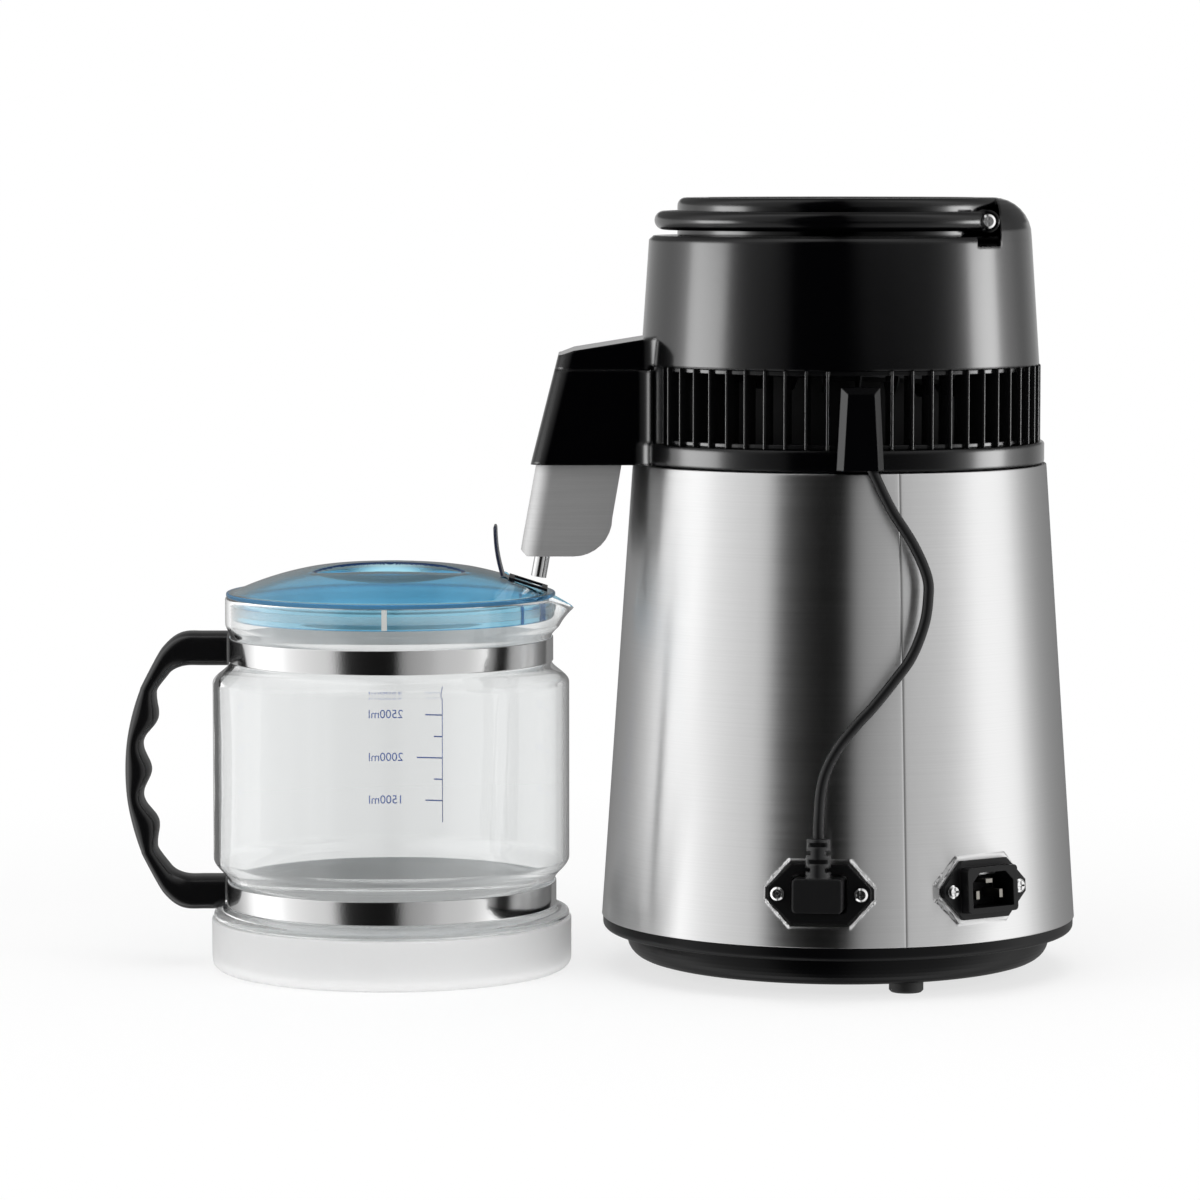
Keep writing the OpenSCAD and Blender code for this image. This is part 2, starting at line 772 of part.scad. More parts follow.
module top_cover() {
    wall = plastic_t;
    color("#131416") difference() {
        union() {
            difference() {
                union() {
                    cover_seat(0);
                    cover_block(0);
                    intersection() {
                        spout_block(0);
                        spout_slab(spout_split_z + 0.1, top_z);
                        spout_roof(0);
                    }
                    intersection() {
                        spout_fillets(cover_foot_r - 1, spout_split_z + 0.1, top_z);
                        spout_roof(0);
                    }
                }
                difference() {
                    union() {
                        cover_seat(wall);
                        cover_block(wall);
                    }
                    pivot_notch(wall);
                }
                intersection() {
                    spout_block(wall);
                    spout_slab(spout_split_z - 1, top_z);
                    spout_roof(wall);
                }
                translate([0, 0, spout_split_z - 1])
                    cylinder(r = vent_r + loose, h = vent_z - spout_split_z + 1);
            }
            translate([0, 0, top_z - grille_t - 3]) cylinder(r = grille_r + 4, h = grille_t + 1);
            both_sides() translate([pivot_x, boss_end, pivot_z]) rotate([90, 0, 0]) cylinder(d = 10, h = 18);
        }
        pivot_notch(0);
        translate([0, 0, top_z - grille_t - 0.3]) cylinder(r = grille_r + 0.3, h = 10);
        translate([0, 0, top_z - 12]) cylinder(r = grille_r - grille_ledge, h = 20);
        both_sides() translate([pivot_x, boss_end + 1, pivot_z]) rotate([90, 0, 0])
            cylinder(d = screw_d + 2 * fit, h = 17);
    }
}

module top_grille() {
    z0 = top_z - grille_t - 0.2;
    z1 = top_z - 0.2;
    color("#1b1c1e") {
        ring(grille_r - 7, grille_r, z0, z1);
        for (r = [20:11:grille_r - 12]) ring(r, r + 4, z0, z1);
        translate([0, 0, z0]) cylinder(r = 12, h = grille_t);
        for (a = [0:45:315]) rotate([0, 0, a]) box([10, grille_r - 5], [-2, 2], [z0, z1]);
    }
}

module head_pan() {
    r = ring_in_r - loose;
    color("#cfd0d1") difference() {
        union() {
            ring(0, r, pan_z, pan_z + sheet_t);
            ring(skirt_r - sheet_t, skirt_r, pan_z - pan_skirt, pan_z + eps);
        }
        translate([riser_x, 0, pan_z - 1]) cylinder(d = coil_d - 2.4, h = 5);
    }
}

module seal_ring() {
    color("#e8e6df") ring(skirt_r + loose, ring_in_r - loose, head_z, pan_z);
}

// Point of the coil at an angle counted from its top
function coil_point(a) =
    [coil_r * cos(a), coil_r * sin(a), coil_top_z - coil_pitch * (a - coil_start) / 360];

// Whole route of the coil's tube: riser, turns and outlet
riser_z = pan_z + sheet_t;
coil_last = coil_point(coil_end);
outlet_z = head_z + 12;
coil_turns = [for (a = [coil_start:coil_step:coil_end]) coil_point(a)];
coil_route = concat(
    [[riser_x, 0, riser_z], [riser_x, 0, coil_top_z - 40]],
    [[riser_x + 2, -4, coil_top_z - 14], [riser_x + 16, -10, coil_top_z - 1]],
    [[coil_r - 5, -2, coil_top_z + 0.5]],
    coil_turns,
    [[-coil_r + 1, 22, coil_last[2] - 1.5], [-coil_r - 10, 11, coil_last[2] - 2.5]],
    [[-coil_r - 24, 4, coil_last[2] - 5], [-cup_x + 9, 1, outlet_z + 6], [-cup_x, 0, outlet_z - 6]]
);

// Least gap between turns that are not neighbours along the tube
coil_apart = [for (i = [0:len(coil_turns) - 14], j = [i + 12:len(coil_turns) - 1])
    norm(coil_turns[i] - coil_turns[j]) - coil_d];
echo(least_coil_gap = min(coil_apart));

module condenser_coil() {
    color("#b4b6b8") loft(tube_rings(coil_route, coil_d, 8, [0, 1, 0]));
}

module condenser_fins() {
    tilt = atan(coil_pitch / (2 * PI * coil_r));
    color("#b9bcc0") for (a = [coil_start + 2 * coil_step:coil_step:coil_end - 36]) translate(coil_point(a))
        rotate([0, 0, a]) rotate([90 - tilt, 0, 0]) difference() {
            cylinder(d = cooling_d, h = 0.8, center = true);
            cylinder(d = coil_d + 0.6, h = 3, center = true);
        }
}

module motor_bracket() {
    z0 = pan_z + sheet_t;
    color("#8d9093") {
        translate([0, 0, motor_z - 2]) cylinder(r = 26, h = 2);
        for (a = [60, 180, 300]) rotate([0, 0, a]) {
            box([20, leg_r + leg_d / 2], [-6, 6], [motor_z - 2, motor_z]);
            translate([leg_r, 0, z0]) cylinder(d = leg_d, h = motor_z - z0 - 1);
        }
    }
}

// Inner sleeve that leads the fan's air out to the coil
module air_duct() {
    color("#1b1c1e") ring(duct_r - duct_t, duct_r, pan_z + sheet_t + 0.05, coil_top_z - 22);
}

module fan_motor() {
    color("#77797c") difference() {
        union() {
            translate([0, 0, motor_z]) cylinder(d = motor_d, h = motor_h);
            translate([0, 0, motor_z + motor_h - eps]) cylinder(d = 14, h = 4);
        }
        translate([0, 0, motor_z + 6]) cylinder(d = shaft_d + fit, h = motor_h);
    }
}

module fan_blades() {
    color("#3c3f42") {
        translate([0, 0, motor_z + 8]) cylinder(d = shaft_d, h = fan_z + 4 - motor_z - 8);
        translate([0, 0, fan_z]) cylinder(d = hub_d, h = hub_h);
        for (i = [0:blade_count - 1]) rotate([0, 0, i * 360 / blade_count])
            translate([0, 0, fan_z + hub_h / 2]) rotate([32, 0, 0]) translate([0, 0, -0.8])
                linear_extrude(1.6) intersection() {
                    translate([hub_d / 2 - 3, -11]) square([fan_r, 24]);
                    circle(fan_r);
                }
    }
}

// Steel shroud below the spout housing, shrunk by a wall
module shroud_solid(wall) {
    half = shroud_half_w - wall;
    r = 10 - wall;
    slip = shroud_rake / shroud_drop;
    z1 = wall > 0 ? head_z + 1 : head_z - 0.05;
    z0 = shroud_z + wall;
    bend = 19 - wall;
    left = -shroud_left + wall;
    right = -shroud_right - wall;
    reach = right - slip * (shroud_drop - 19);
    intersection() {
        across(half, concat(
            [[left + slip, z1], [left - shroud_rake, z0 + 3], [left - shroud_rake + 3, z0]],
            arc([reach - bend, z0 + bend], bend, -90, 0),
            [[right + slip, z1]]
        ));
        translate([left, 0, head_z]) rotate([0, atan(slip), 0]) translate([-0.4, 0, -80])
            linear_extrude(140) {
                translate([r, -half]) square([60, 2 * half]);
                translate([0, -half + r]) square([60, 2 * half - 2 * r]);
                for (y = [-1, 1]) translate([r, y * (half - r)]) circle(r);
            }
    }
}

// Places a child at the drip tube's lower end, its Z axis up the tube
module at_drip() {
    translate([-drip_x, 0, drip_z]) rotate([0, drip_rake, 0]) children();
}

module spout_shroud() {
    color("#c9cacb") difference() {
        shroud_solid(0);
        shroud_solid(shroud_t);
        at_drip() cylinder(d = drip_d + loose, h = 40);
    }
}

module drip_tube() {
    color("#c9cacb") at_drip() difference() {
        cylinder(d = drip_d, h = drip_l);
        translate([0, 0, -1]) cylinder(d = drip_d - 2, h = drip_l + 2);
    }
}

module filter_cup() {
    z0 = shroud_z + 20;
    z1 = head_z + plastic_t + 1;
    color("#e4e2da") difference() {
        union() {
            translate([-cup_x, 0, z0]) cylinder(d = cup_d - 2, h = z1 - z0);
            translate([-cup_x, 0, head_z + plastic_t + 0.1]) cylinder(d = cup_d + 3, h = 1.6);
        }
        translate([-cup_x, 0, z0 + 2]) cylinder(d = cup_d - 6, h = 60);
        translate([-cup_x, 0, z0 - 1]) cylinder(d = 6, h = 10);
    }
}

module charcoal_sachet() {
    color("#3a3a3a") translate([-cup_x, 0, shroud_z + 22.2]) cylinder(d = cup_d - 7, h = 10);
}

module cord_cover() {
    depth = gland_out - gland_in;
    color("#151618") at_head(cover_turn, gland_in, gland_z) difference() {
        hull() {
            linear_extrude(depth - 4) polygon([
                [-gland_foot_w / 2, 0], [gland_foot_w / 2, 0],
                [gland_top_w / 2, gland_h], [-gland_top_w / 2, gland_h],
            ]);
            linear_extrude(depth) polygon([
                [-gland_foot_w / 2 + 3, 0], [gland_foot_w / 2 - 3, 0],
                [gland_top_w / 2 - 3, gland_h - 3], [3 - gland_top_w / 2, gland_h - 3],
            ]);
        }
        translate([gland_exit, 12, depth / 2]) rotate([90, 0, 0]) cylinder(d = lead_d + 2 * fit, h = 20);
        translate([gland_exit, 4, depth / 2]) rotate([90, 0, 0])
            cylinder(d1 = lead_d + 2 * loose, d2 = lead_d + 4.4, h = 5);
    }
}

module carry_handle() {
    color("#161719") difference() {
        union() {
            translate([0, 0, pivot_z]) rotate([0, 0, bail_open + 1])
                rotate_extrude(angle = 358 - 2 * bail_open)
                    translate([bail_r, 0]) circle(d = bail_d, $fn = 48);
            both_sides() translate([pivot_x, eye_out, pivot_z]) rotate([90, 0, 0])
                cylinder(d = eye_d, h = eye_out - eye_in);
        }
        translate([pivot_x, 100, pivot_z]) rotate([90, 0, 0]) cylinder(d = screw_d + 2 * fit, h = 200);
        both_sides() translate([pivot_x, eye_out + 12, pivot_z]) rotate([90, 0, 0])
            cylinder(d = pivot_head_d + 1.2, h = 12);
    }
}

module handle_screws() {
    color("#c4c6c8") both_sides() translate([pivot_x, eye_out + 0.2, pivot_z]) rotate([-90, 0, 0])
        pan_screw(screw_d, eye_out - boss_end + 13, pivot_head_d, 2);
}

// Lead from the cord cover to the plug
lead_from = let (r = (gland_in + gland_out) / 2, c = gland_exit)
    [c * cos(cover_turn) + r * sin(cover_turn), c * sin(cover_turn) - r * cos(cover_turn), gland_z + 2];
lead_to = on_shell(outlet_turn, socket_z, [0, plug_h / 2 + relief_l + seat_gap, relief_out]);
lead_under = on_shell(outlet_turn, socket_z, [0, plug_h / 2 + relief_l + 8, relief_out]);
function lead_point(p) =
    let (z = lead_from[2] - p[1] * (lead_from[2] - lead_to[2]))
    [p[0], -sqrt((shell_radius(z) + p[2]) ^ 2 - p[0] ^ 2), z];
lead_knots = concat([lead_from], [for (p = lead_route) lead_point(p)], [lead_under, lead_to]);
lead_path = [for (i = [0:lead_rings]) on_curve(lead_knots, i * (len(lead_knots) - 1) / lead_rings)];
lead_all_rings = tube_rings(lead_path, lead_d, lead_sides, [0, -1, 0]);
lead_steps = [for (i = [1:lead_rings]) norm(lead_path[i] - lead_path[i - 1])];
echo(lead_length = lead_steps * [for (i = [1:lead_rings]) 1]);

module lead_upper() {
    color("#161617") loft([for (i = [0:lead_rings / 2]) lead_all_rings[i]]);
}

module lead_lower() {
    color("#161617") loft([for (i = [lead_rings / 2:lead_rings]) lead_all_rings[i]]);
}

module lead_plug() {
    color("#1b1b1c") at_shell(outlet_turn, socket_z) difference() {
        union() {
            translate([0, 0, flange_face - plug_in]) linear_extrude(plug_in + plug_out)
                rounded_rect(plug_w, plug_h, 2);
            translate([0, plug_h / 2 - 1, relief_out]) rotate([-90, 0, 0])
                cylinder(d1 = relief_d, d2 = relief_top_d, h = relief_l + 1);
        }
        for (i = [0:3]) translate([0, plug_h / 2 + 4 + 4 * i, relief_out]) {
            side = i % 2 == 0 ? 0 : 90;
            rotate([0, side, 0]) for (s = [-1, 1]) box([s * 5 - 1.6, s * 5 + 1.6], [-1, 1], [-5, 5]);
        }
        for (p = poles) translate([p[0], p[1], flange_face - plug_in - 1]) linear_extrude(7)
            square([p[2], p[3]], center = true);
    }
}

module plug_pins() {
    z0 = flange_face - plug_in - pin_out;
    color("#c7b98a") at_shell(outlet_turn, socket_z) for (p = poles)
        translate([p[0], p[1], max(z0, -13.5)]) linear_extrude(flange_face - plug_in + 5 - max(z0, -13.5))
            square([p[2], p[3]], center = true);
}

// Outer outline of the glass from its floor to its rim
function glass_outline(t) =
    let (floor_r = boot_r - boot_t - 0.3)
    concat(
        [[0, glass_floor_z + t]],
        arc([floor_r - 12, glass_floor_z + 12], 12 - t, -90, 0),
        t > 0 ? [[floor_r - t, boot_h + 1.4]]
            : [[floor_r, boot_h + 0.3], [boot_r - 0.9, boot_h + 0.3], [boot_r - 0.9, boot_h + 2.6]],
        t > 0 ? swell([floor_r - t, boot_h + 1.4], [waist_r - t, waist_z0])
            : swell([boot_r - 0.9, boot_h + 2.6], [waist_r, waist_z0]),
        [[waist_r - t, waist_z0], [waist_r - t, waist_z0 + band_h]],
        swell([waist_r - t, waist_z0 + band_h], [glass_r - t, body_z0]),
        [[glass_r - t, body_z0], [glass_r - t, body_z1]],
        swell([glass_r - t, body_z1], [neck_r - t, neck_z0]),
        [[neck_r - t, neck_z0], [neck_r - t, neck_z1]],
        swell([neck_r - t, neck_z1], [collar_r - t, neck_z1 + 7], 5),
        [[collar_r - t, neck_z1 + 7], [collar_r - t, rim_z + t], [0, rim_z + t]]
    );

// Pouring lip towards the spout, shrunk by the glass
module pouring_lip(t) {
    hull() {
        translate([lip_reach - 4, 0, rim_z - 4 + t]) cylinder(r = 4 - t, h = 4, $fn = 32);
        for (y = [-1, 1]) translate([collar_r - 8, y * (lip_half_w - t), rim_z - 4 + t])
            cylinder(r = 3, h = 4, $fn = 32);
        translate([neck_r - 6 - t, 0, neck_z1 + 3 + t]) cylinder(r = 4, h = 1, $fn = 32);
    }
}

module carafe_glass() {
    color("#dfe8ea", 0.35) at_carafe() difference() {
        union() {
            rotate_extrude() polygon(glass_outline(0));
            pouring_lip(0);
        }
        rotate_extrude() polygon(glass_outline(glass_t));
        pouring_lip(glass_t);
    }
}

module base_boot() {
    color("#f1f1ee", 0.8) at_carafe() rotate_extrude() polygon(concat(
        [[0, 0]],
        arc([boot_r - 8, 8], 8, -90, 0),
        [[boot_r, boot_h], [boot_r - boot_t, boot_h]],
        arc([boot_r - boot_t - 12.3, 15.3], 12.3, 0, -90),
        [[0, 3]]
    ));
}

// Steel band round the glass with the ear that the handle clamps
module band(r, z0) {
    z1 = z0 + band_h;
    color("#d2d3d4") at_carafe() difference() {
        union() {
            ring(r - band_t, r, z0 + 0.2, z1 - 0.2);
            box([-r - ear_l, -r + band_t / 2], [-ear_t / 2, ear_t / 2], [z0 + 1.5, z1 - 1.5]);
        }
        translate([-r - clamp_in, 10, (z0 + z1) / 2]) rotate([90, 0, 0])
            cylinder(d = screw_d + 2 * fit, h = 20);
    }
}

module upper_band() {
    band(upper_band_r, neck_z0);
}

module lower_band() {
    band(lower_band_r, waist_z0);
}

// Outer and inner points of the carafe's handle, from the upper arm to the lower arm
function grip_pair(outer, inner, up) = [
    [-outer[0], grip_mid_z + up * outer[1]],
    [-inner[0], grip_mid_z + up * inner[1]],
];
function grip_arm(r, up) = grip_pair([r, arm_dz + 8.4], [r, arm_dz - 8.4], up);
function grip_corner(p, up) = grip_pair([p[0], arm_dz + p[1]], [p[2], arm_dz + p[3]], up);
function grip_thickness(dz) = grip_thick + grip_bump * cos(360 * dz / grip_bump_pitch);
function grip_arc(a) =
    let (c = grip_reach - grip_arc_r)
    let (r = grip_arc_r - grip_thickness(grip_arc_r * sin(a)))
    grip_pair([c + grip_arc_r * cos(a), grip_arc_r * sin(a)], [c + r * cos(a), r * sin(a)], 1);
grip_pairs = concat(
    [grip_arm(upper_band_r + seat_gap, 1)],
    [for (p = grip_bend) grip_corner(p, 1)],
    [for (i = [-10:10]) grip_arc(-grip_half_turn * i / 10)],
    [for (i = [len(grip_bend) - 1:-1:0]) grip_corner(grip_bend[i], -1)],
    [grip_arm(lower_band_r + seat_gap, -1)]
);

// Pushes a round section towards a square one
function boxy(t) = sign(t) * abs(t) ^ 0.62;

// Round-cornered section between an outer and an inner point
function grip_ring(pair) =
    let (mid = (pair[0] + pair[1]) / 2, half = (pair[0] - pair[1]) / 2)
    [for (k = [0:15])
        let (u = boxy(cos(360 * k / 16)), v = boxy(sin(360 * k / 16)))
        [mid[0] + half[0] * u, grip_w / 2 * v, mid[1] + half[1] * u]];

module carafe_handle() {
    color("#1a1b1c") at_carafe() difference() {
        loft([for (p = grip_pairs) grip_ring(p)]);
        translate([0, 0, boot_h + 2.6])
            cylinder(r1 = boot_r + 0.4, r2 = waist_r + 1.9, h = waist_z0 - boot_h - 2.6);
        for (b = [[upper_band_r, neck_z0], [lower_band_r, waist_z0]]) {
            box([-b[0] - ear_l - 1, 0], [-ear_t / 2 - fit, ear_t / 2 + fit], [b[1] + 1, b[1] + band_h - 1]);
            translate([-b[0] - clamp_in, grip_w, b[1] + band_h / 2]) rotate([90, 0, 0])
                cylinder(d = screw_d + 2 * fit, h = grip_w + 8);
            translate([-b[0] - clamp_in, grip_w, b[1] + band_h / 2]) rotate([90, 0, 0])
                cylinder(d = 8, h = grip_w / 2 + 3);
        }
    }
}

module band_screws() {
    color("#c4c6c8") at_carafe() for (b = [[upper_band_r, neck_z0], [lower_band_r, waist_z0]])
        translate([-b[0] - clamp_in, grip_w / 2 - 3, b[1] + band_h / 2]) rotate([-90, 0, 0])
            pan_screw(screw_d, grip_w / 2 + 4, 7, 2);
}

// Dome outline of the lid, shrunk by a wall
function dome_outline(t) = concat(
    [[0, lid_z - 1]],
    [[dome_r - t, lid_z - 1]],
    [for (i = [0:12]) let (r = dome_r * (1 - i / 12))
        [max(r - t * (i < 12 ? 1 : 0), 0), lid_z + lid_flange - t + dome_h * (1 - (r / dome_r) ^ dome_power)]]
);

// Finger scoops on both sides of the grip rib, cut by a round bar bent upwards and grown by a wall
module scoops(grow) {
    z = lid_z + dome_h + lid_flange - scoop_deep + scoop_bend_r;
    for (y = [-1, 1]) translate([0, y * scoop_y, z]) rotate([90, 0, 0]) rotate([0, 0, -115])
        rotate_extrude(angle = 50) translate([scoop_bend_r - scoop_d / 2, 0])
            circle(d = scoop_d + 2 * grow, $fn = 48);
}

// Sloping seat of the lid's spout opening, raised by a step
function spout_seat(up) =
    let (slope = (spout_in_z - spout_out_z) / (spout_x1 - spout_x0))
    let (back = hinge_x - 4)
    [
        [back, lid_z], [back, spout_in_z + slope * (spout_x0 - back) + up],
        [spout_x1, spout_out_z + up], [spout_x1, lid_z],
    ];

module spout_hole() {
    box([spout_x0 + spout_rim, spout_x1 - spout_rim], [spout_rim - spout_w / 2, spout_w / 2 - spout_rim],
        [lid_z - 30, lid_z + 30]);
}

module carafe_lid() {
    half = spout_w / 2 + 2.4;
    pin_hole_d = flap_pin_d + 2 * fit;
    color("#2f63b8", 0.6) at_carafe() difference() {
        union() {
            difference() {
                union() {
                    ring(lid_skirt_r - lid_t, lid_r, lid_z, lid_z + lid_flange);
                    rotate_extrude() polygon(dome_outline(0));
                }
                difference() {
                    translate([0, 0, -1]) rotate_extrude() polygon(dome_outline(lid_t));
                    scoops(lid_t);
                }
                scoops(0);
            }
            ring(lid_skirt_r - lid_t, lid_skirt_r, lid_z - skirt_drop, lid_z + 1);
            across(half, spout_seat(0));
        }
        difference() {
            box([hinge_x - 4.2, 100], [-half, half], [lid_z + 2, lid_z + 60]);
            across(half + 1, spout_seat(0));
            for (y = [-1, 1]) translate([hinge_x, y * (flap_w / 2 + 1.6), hinge_z]) rotate([90, 0, 0])
                cylinder(d = hinge_d + 1, h = 2.2, center = true);
        }
        translate([hinge_x, 0, hinge_z]) rotate([90, 0, 0])
            cylinder(d = hinge_d + 1.4, h = flap_w + 2 * flap_side, center = true);
        translate([hinge_x, 0, hinge_z]) rotate([90, 0, 0]) cylinder(d = pin_hole_d, h = 60, center = true);
        spout_hole();
    }
}

module lid_seal() {
    z = lid_z - 8;
    color("#dfe3e6") at_carafe() ring(lid_skirt_r + 0.05, lid_skirt_r + 0.55, z, z + 4);
}

module spout_seal() {
    color("#12203f") at_carafe() difference() {
        across(spout_w / 2, spout_seat(spout_seal_t));
        across(spout_w / 2 + 1, spout_seat(0.02));
        box([-10, spout_x0], [-40, 40], [0, 2 * rim_z]);
        spout_hole();
    }
}

module lid_flap() {
    color("#16264c") at_carafe() translate([hinge_x, 0, hinge_z]) difference() {
        union() {
            rotate([90, 0, 0]) cylinder(d = hinge_d, h = flap_w, center = true);
            rotate([0, -flap_lean, 0]) box([-flap_t / 2, flap_t / 2], [-flap_w / 2, flap_w / 2], [0, flap_l]);
        }
        rotate([90, 0, 0]) cylinder(d = flap_pin_d + 4 * fit, h = 60, center = true);
    }
}

module flap_pin() {
    color("#b9bbbe") at_carafe() translate([hinge_x, 0, hinge_z]) rotate([90, 0, 0])
        cylinder(d = flap_pin_d, h = flap_w + 5, center = true);
}

feet();
base_tray();
tray_screws();
tank_posts();
outer_shell();
boiler_tank();
heater_plate();
heating_element();
thermostats();
outlet_socket();
mains_inlet();
inlet_pins();
socket_screws();
button_bezel();
switch_body();
start_button();
indicator_lens();
vent_ring();
louvre_ring();
top_cover();
top_grille();
head_pan();
seal_ring();
condenser_coil();
condenser_fins();
motor_bracket();
air_duct();
fan_motor();
fan_blades();
spout_shroud();
drip_tube();
filter_cup();
charcoal_sachet();
cord_cover();
carry_handle();
handle_screws();
lead_upper();
lead_lower();
lead_plug();
plug_pins();
carafe_glass();
base_boot();
upper_band();
lower_band();
carafe_handle();
band_screws();
carafe_lid();
lid_seal();
spout_seal();
lid_flap();
flap_pin();
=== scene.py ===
import bmesh
import bpy
import numpy as np
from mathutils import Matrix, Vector


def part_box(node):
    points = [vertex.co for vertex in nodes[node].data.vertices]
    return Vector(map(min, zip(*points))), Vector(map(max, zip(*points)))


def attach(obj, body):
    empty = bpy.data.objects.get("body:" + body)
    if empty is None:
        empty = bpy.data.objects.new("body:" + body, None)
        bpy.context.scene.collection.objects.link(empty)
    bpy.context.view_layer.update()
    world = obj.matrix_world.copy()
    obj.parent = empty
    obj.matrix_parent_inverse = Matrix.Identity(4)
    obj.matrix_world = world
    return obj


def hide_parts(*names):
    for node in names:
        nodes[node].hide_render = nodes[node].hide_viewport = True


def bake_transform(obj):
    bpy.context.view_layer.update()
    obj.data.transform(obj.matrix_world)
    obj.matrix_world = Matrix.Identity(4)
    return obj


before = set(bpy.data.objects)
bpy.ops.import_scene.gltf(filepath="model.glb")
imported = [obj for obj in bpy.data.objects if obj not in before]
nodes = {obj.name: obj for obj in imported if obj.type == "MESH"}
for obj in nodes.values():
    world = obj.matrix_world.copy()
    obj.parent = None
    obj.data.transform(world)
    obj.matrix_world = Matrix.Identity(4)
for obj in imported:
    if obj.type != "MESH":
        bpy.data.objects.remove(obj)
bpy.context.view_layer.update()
scene = bpy.context.scene
print("stage: frame loaded")


# A new object in the scene
def added(name, data):
    made = bpy.data.objects.new(name, data)
    scene.collection.objects.link(made)
    return made


# Camera: a long lens a little above the object, tilted slightly down
view = {"place": (-0.1186, -2.515, 0.397), "pitch": 4.86, "lens": 152.4, "sensor": 36.0, "clipEnd": 60.0}
cameraData = bpy.data.cameras.new("studioCamera")
cameraData.lens = view["lens"]
cameraData.sensor_width = view["sensor"]
cameraData.clip_end = view["clipEnd"]
camera = added("studioCamera", cameraData)
camera.location = view["place"]
camera.rotation_euler = (np.radians(90.0 - view["pitch"]), 0.0, 0.0)
scene.camera = camera
scene.view_settings.view_transform = "Standard"
print("stage: camera")


# One sRGB colour code as a linear colour
def linear(code):
    raw = np.array([int(code[i:i + 2], 16) for i in (1, 3, 5)]) / 255.0
    low = raw / 12.92
    high = ((raw + 0.055) / 1.055) ** 2.4
    return (*np.where(raw <= 0.04045, low, high).tolist(), 1.0)


# Adds a shader node with its socket values, links and settings; a node given as a value stands for its first output
def put(tree, kind, sockets=None, **settings):
    made = tree.nodes.new("ShaderNode" + kind)
    for key, value in settings.items():
        setattr(made, key, value)
    for key, value in (sockets or {}).items():
        if isinstance(value, bpy.types.Node):
            value = value.outputs[0]
        if isinstance(value, bpy.types.NodeSocket):
            tree.links.new(value, made.inputs[key])
        else:
            made.inputs[key].default_value = value
    return made


# One step of shader arithmetic on numbers
def calc(tree, operation, *values):
    return put(tree, "Math", dict(enumerate(values)), operation=operation)


# One step of shader arithmetic on vectors
def vectorCalc(tree, operation, *values):
    return put(tree, "VectorMath", dict(enumerate(values)), operation=operation)


# A value carried from one range to another
def ranged(tree, value, fromMin, fromMax, toMin=0.0, toMax=1.0, **settings):
    return put(tree, "MapRange", {"Value": value, "From Min": fromMin, "From Max": fromMax,
                                  "To Min": toMin, "To Max": toMax}, **settings)


# The shaded point in its object's frame
def objectPoint(tree):
    return put(tree, "TexCoord").outputs["Object"]


# Bearing of a split vector round the upright axis, zero towards the photographed side: the arc tangent of x over -y
def bearingOf(tree, parts):
    return calc(tree, "ARCTAN2", parts.outputs[0], calc(tree, "MULTIPLY", parts.outputs[1], -1.0))


# Noise drawn out into level brush lines, by its scale along them and its scale across
def brushLines(tree, along, across):
    spread = put(tree, "Mapping", {"Vector": objectPoint(tree), "Scale": (along, along, across)})
    return put(tree, "TexNoise", {"Vector": spread, "Scale": 1.0, "Detail": 3.0})


# A colour multiplied by a shade
def toned(tree, code, shade):
    made = put(tree, "Mix", {"Factor": 1.0, 6: linear(code), 7: shade}, data_type="RGBA", blend_type="MULTIPLY")
    return made.outputs[2]


# A new empty material and its tree
def startMaterial(name):
    made = bpy.data.materials.new(name)
    made.use_nodes = True
    made.node_tree.nodes.clear()
    return made, made.node_tree


# Soft step between two edges
def smooth(low, high, value):
    t = np.clip((value - low) / (high - low), 0.0, 1.0)
    return t * t * (3.0 - 2.0 * t)


# Joins the two open edges of each cut through a wall by a rim of faces
def closeCuts(work):
    work.edges.index_update()
    left = {edge.index: edge for edge in work.edges if edge.is_boundary}
    loops = []
    while left:
        loop = [left.pop(next(iter(left)))]
        for edge in loop:
            loop.extend(left.pop(e.index) for v in edge.verts for e in v.link_edges if e.index in left)
        loops.append(loop)
    middles = [np.mean([v.co for edge in loop for v in edge.verts], axis=0) for loop in loops]
    pending = list(range(len(loops)))
    while len(pending) > 1:
        one = pending.pop(0)
        other = min(pending, key=lambda k: np.linalg.norm(middles[k] - middles[one]))
        pending.remove(other)
        bmesh.ops.bridge_loops(work, edges=loops[one] + loops[other])


# A mesh object from grids of points [row, column], each closed round where asked, with equal corners merged
meshSizes = {"merge": 1e-6, "flat": 1e-7, "sharpTurn": 38.0}


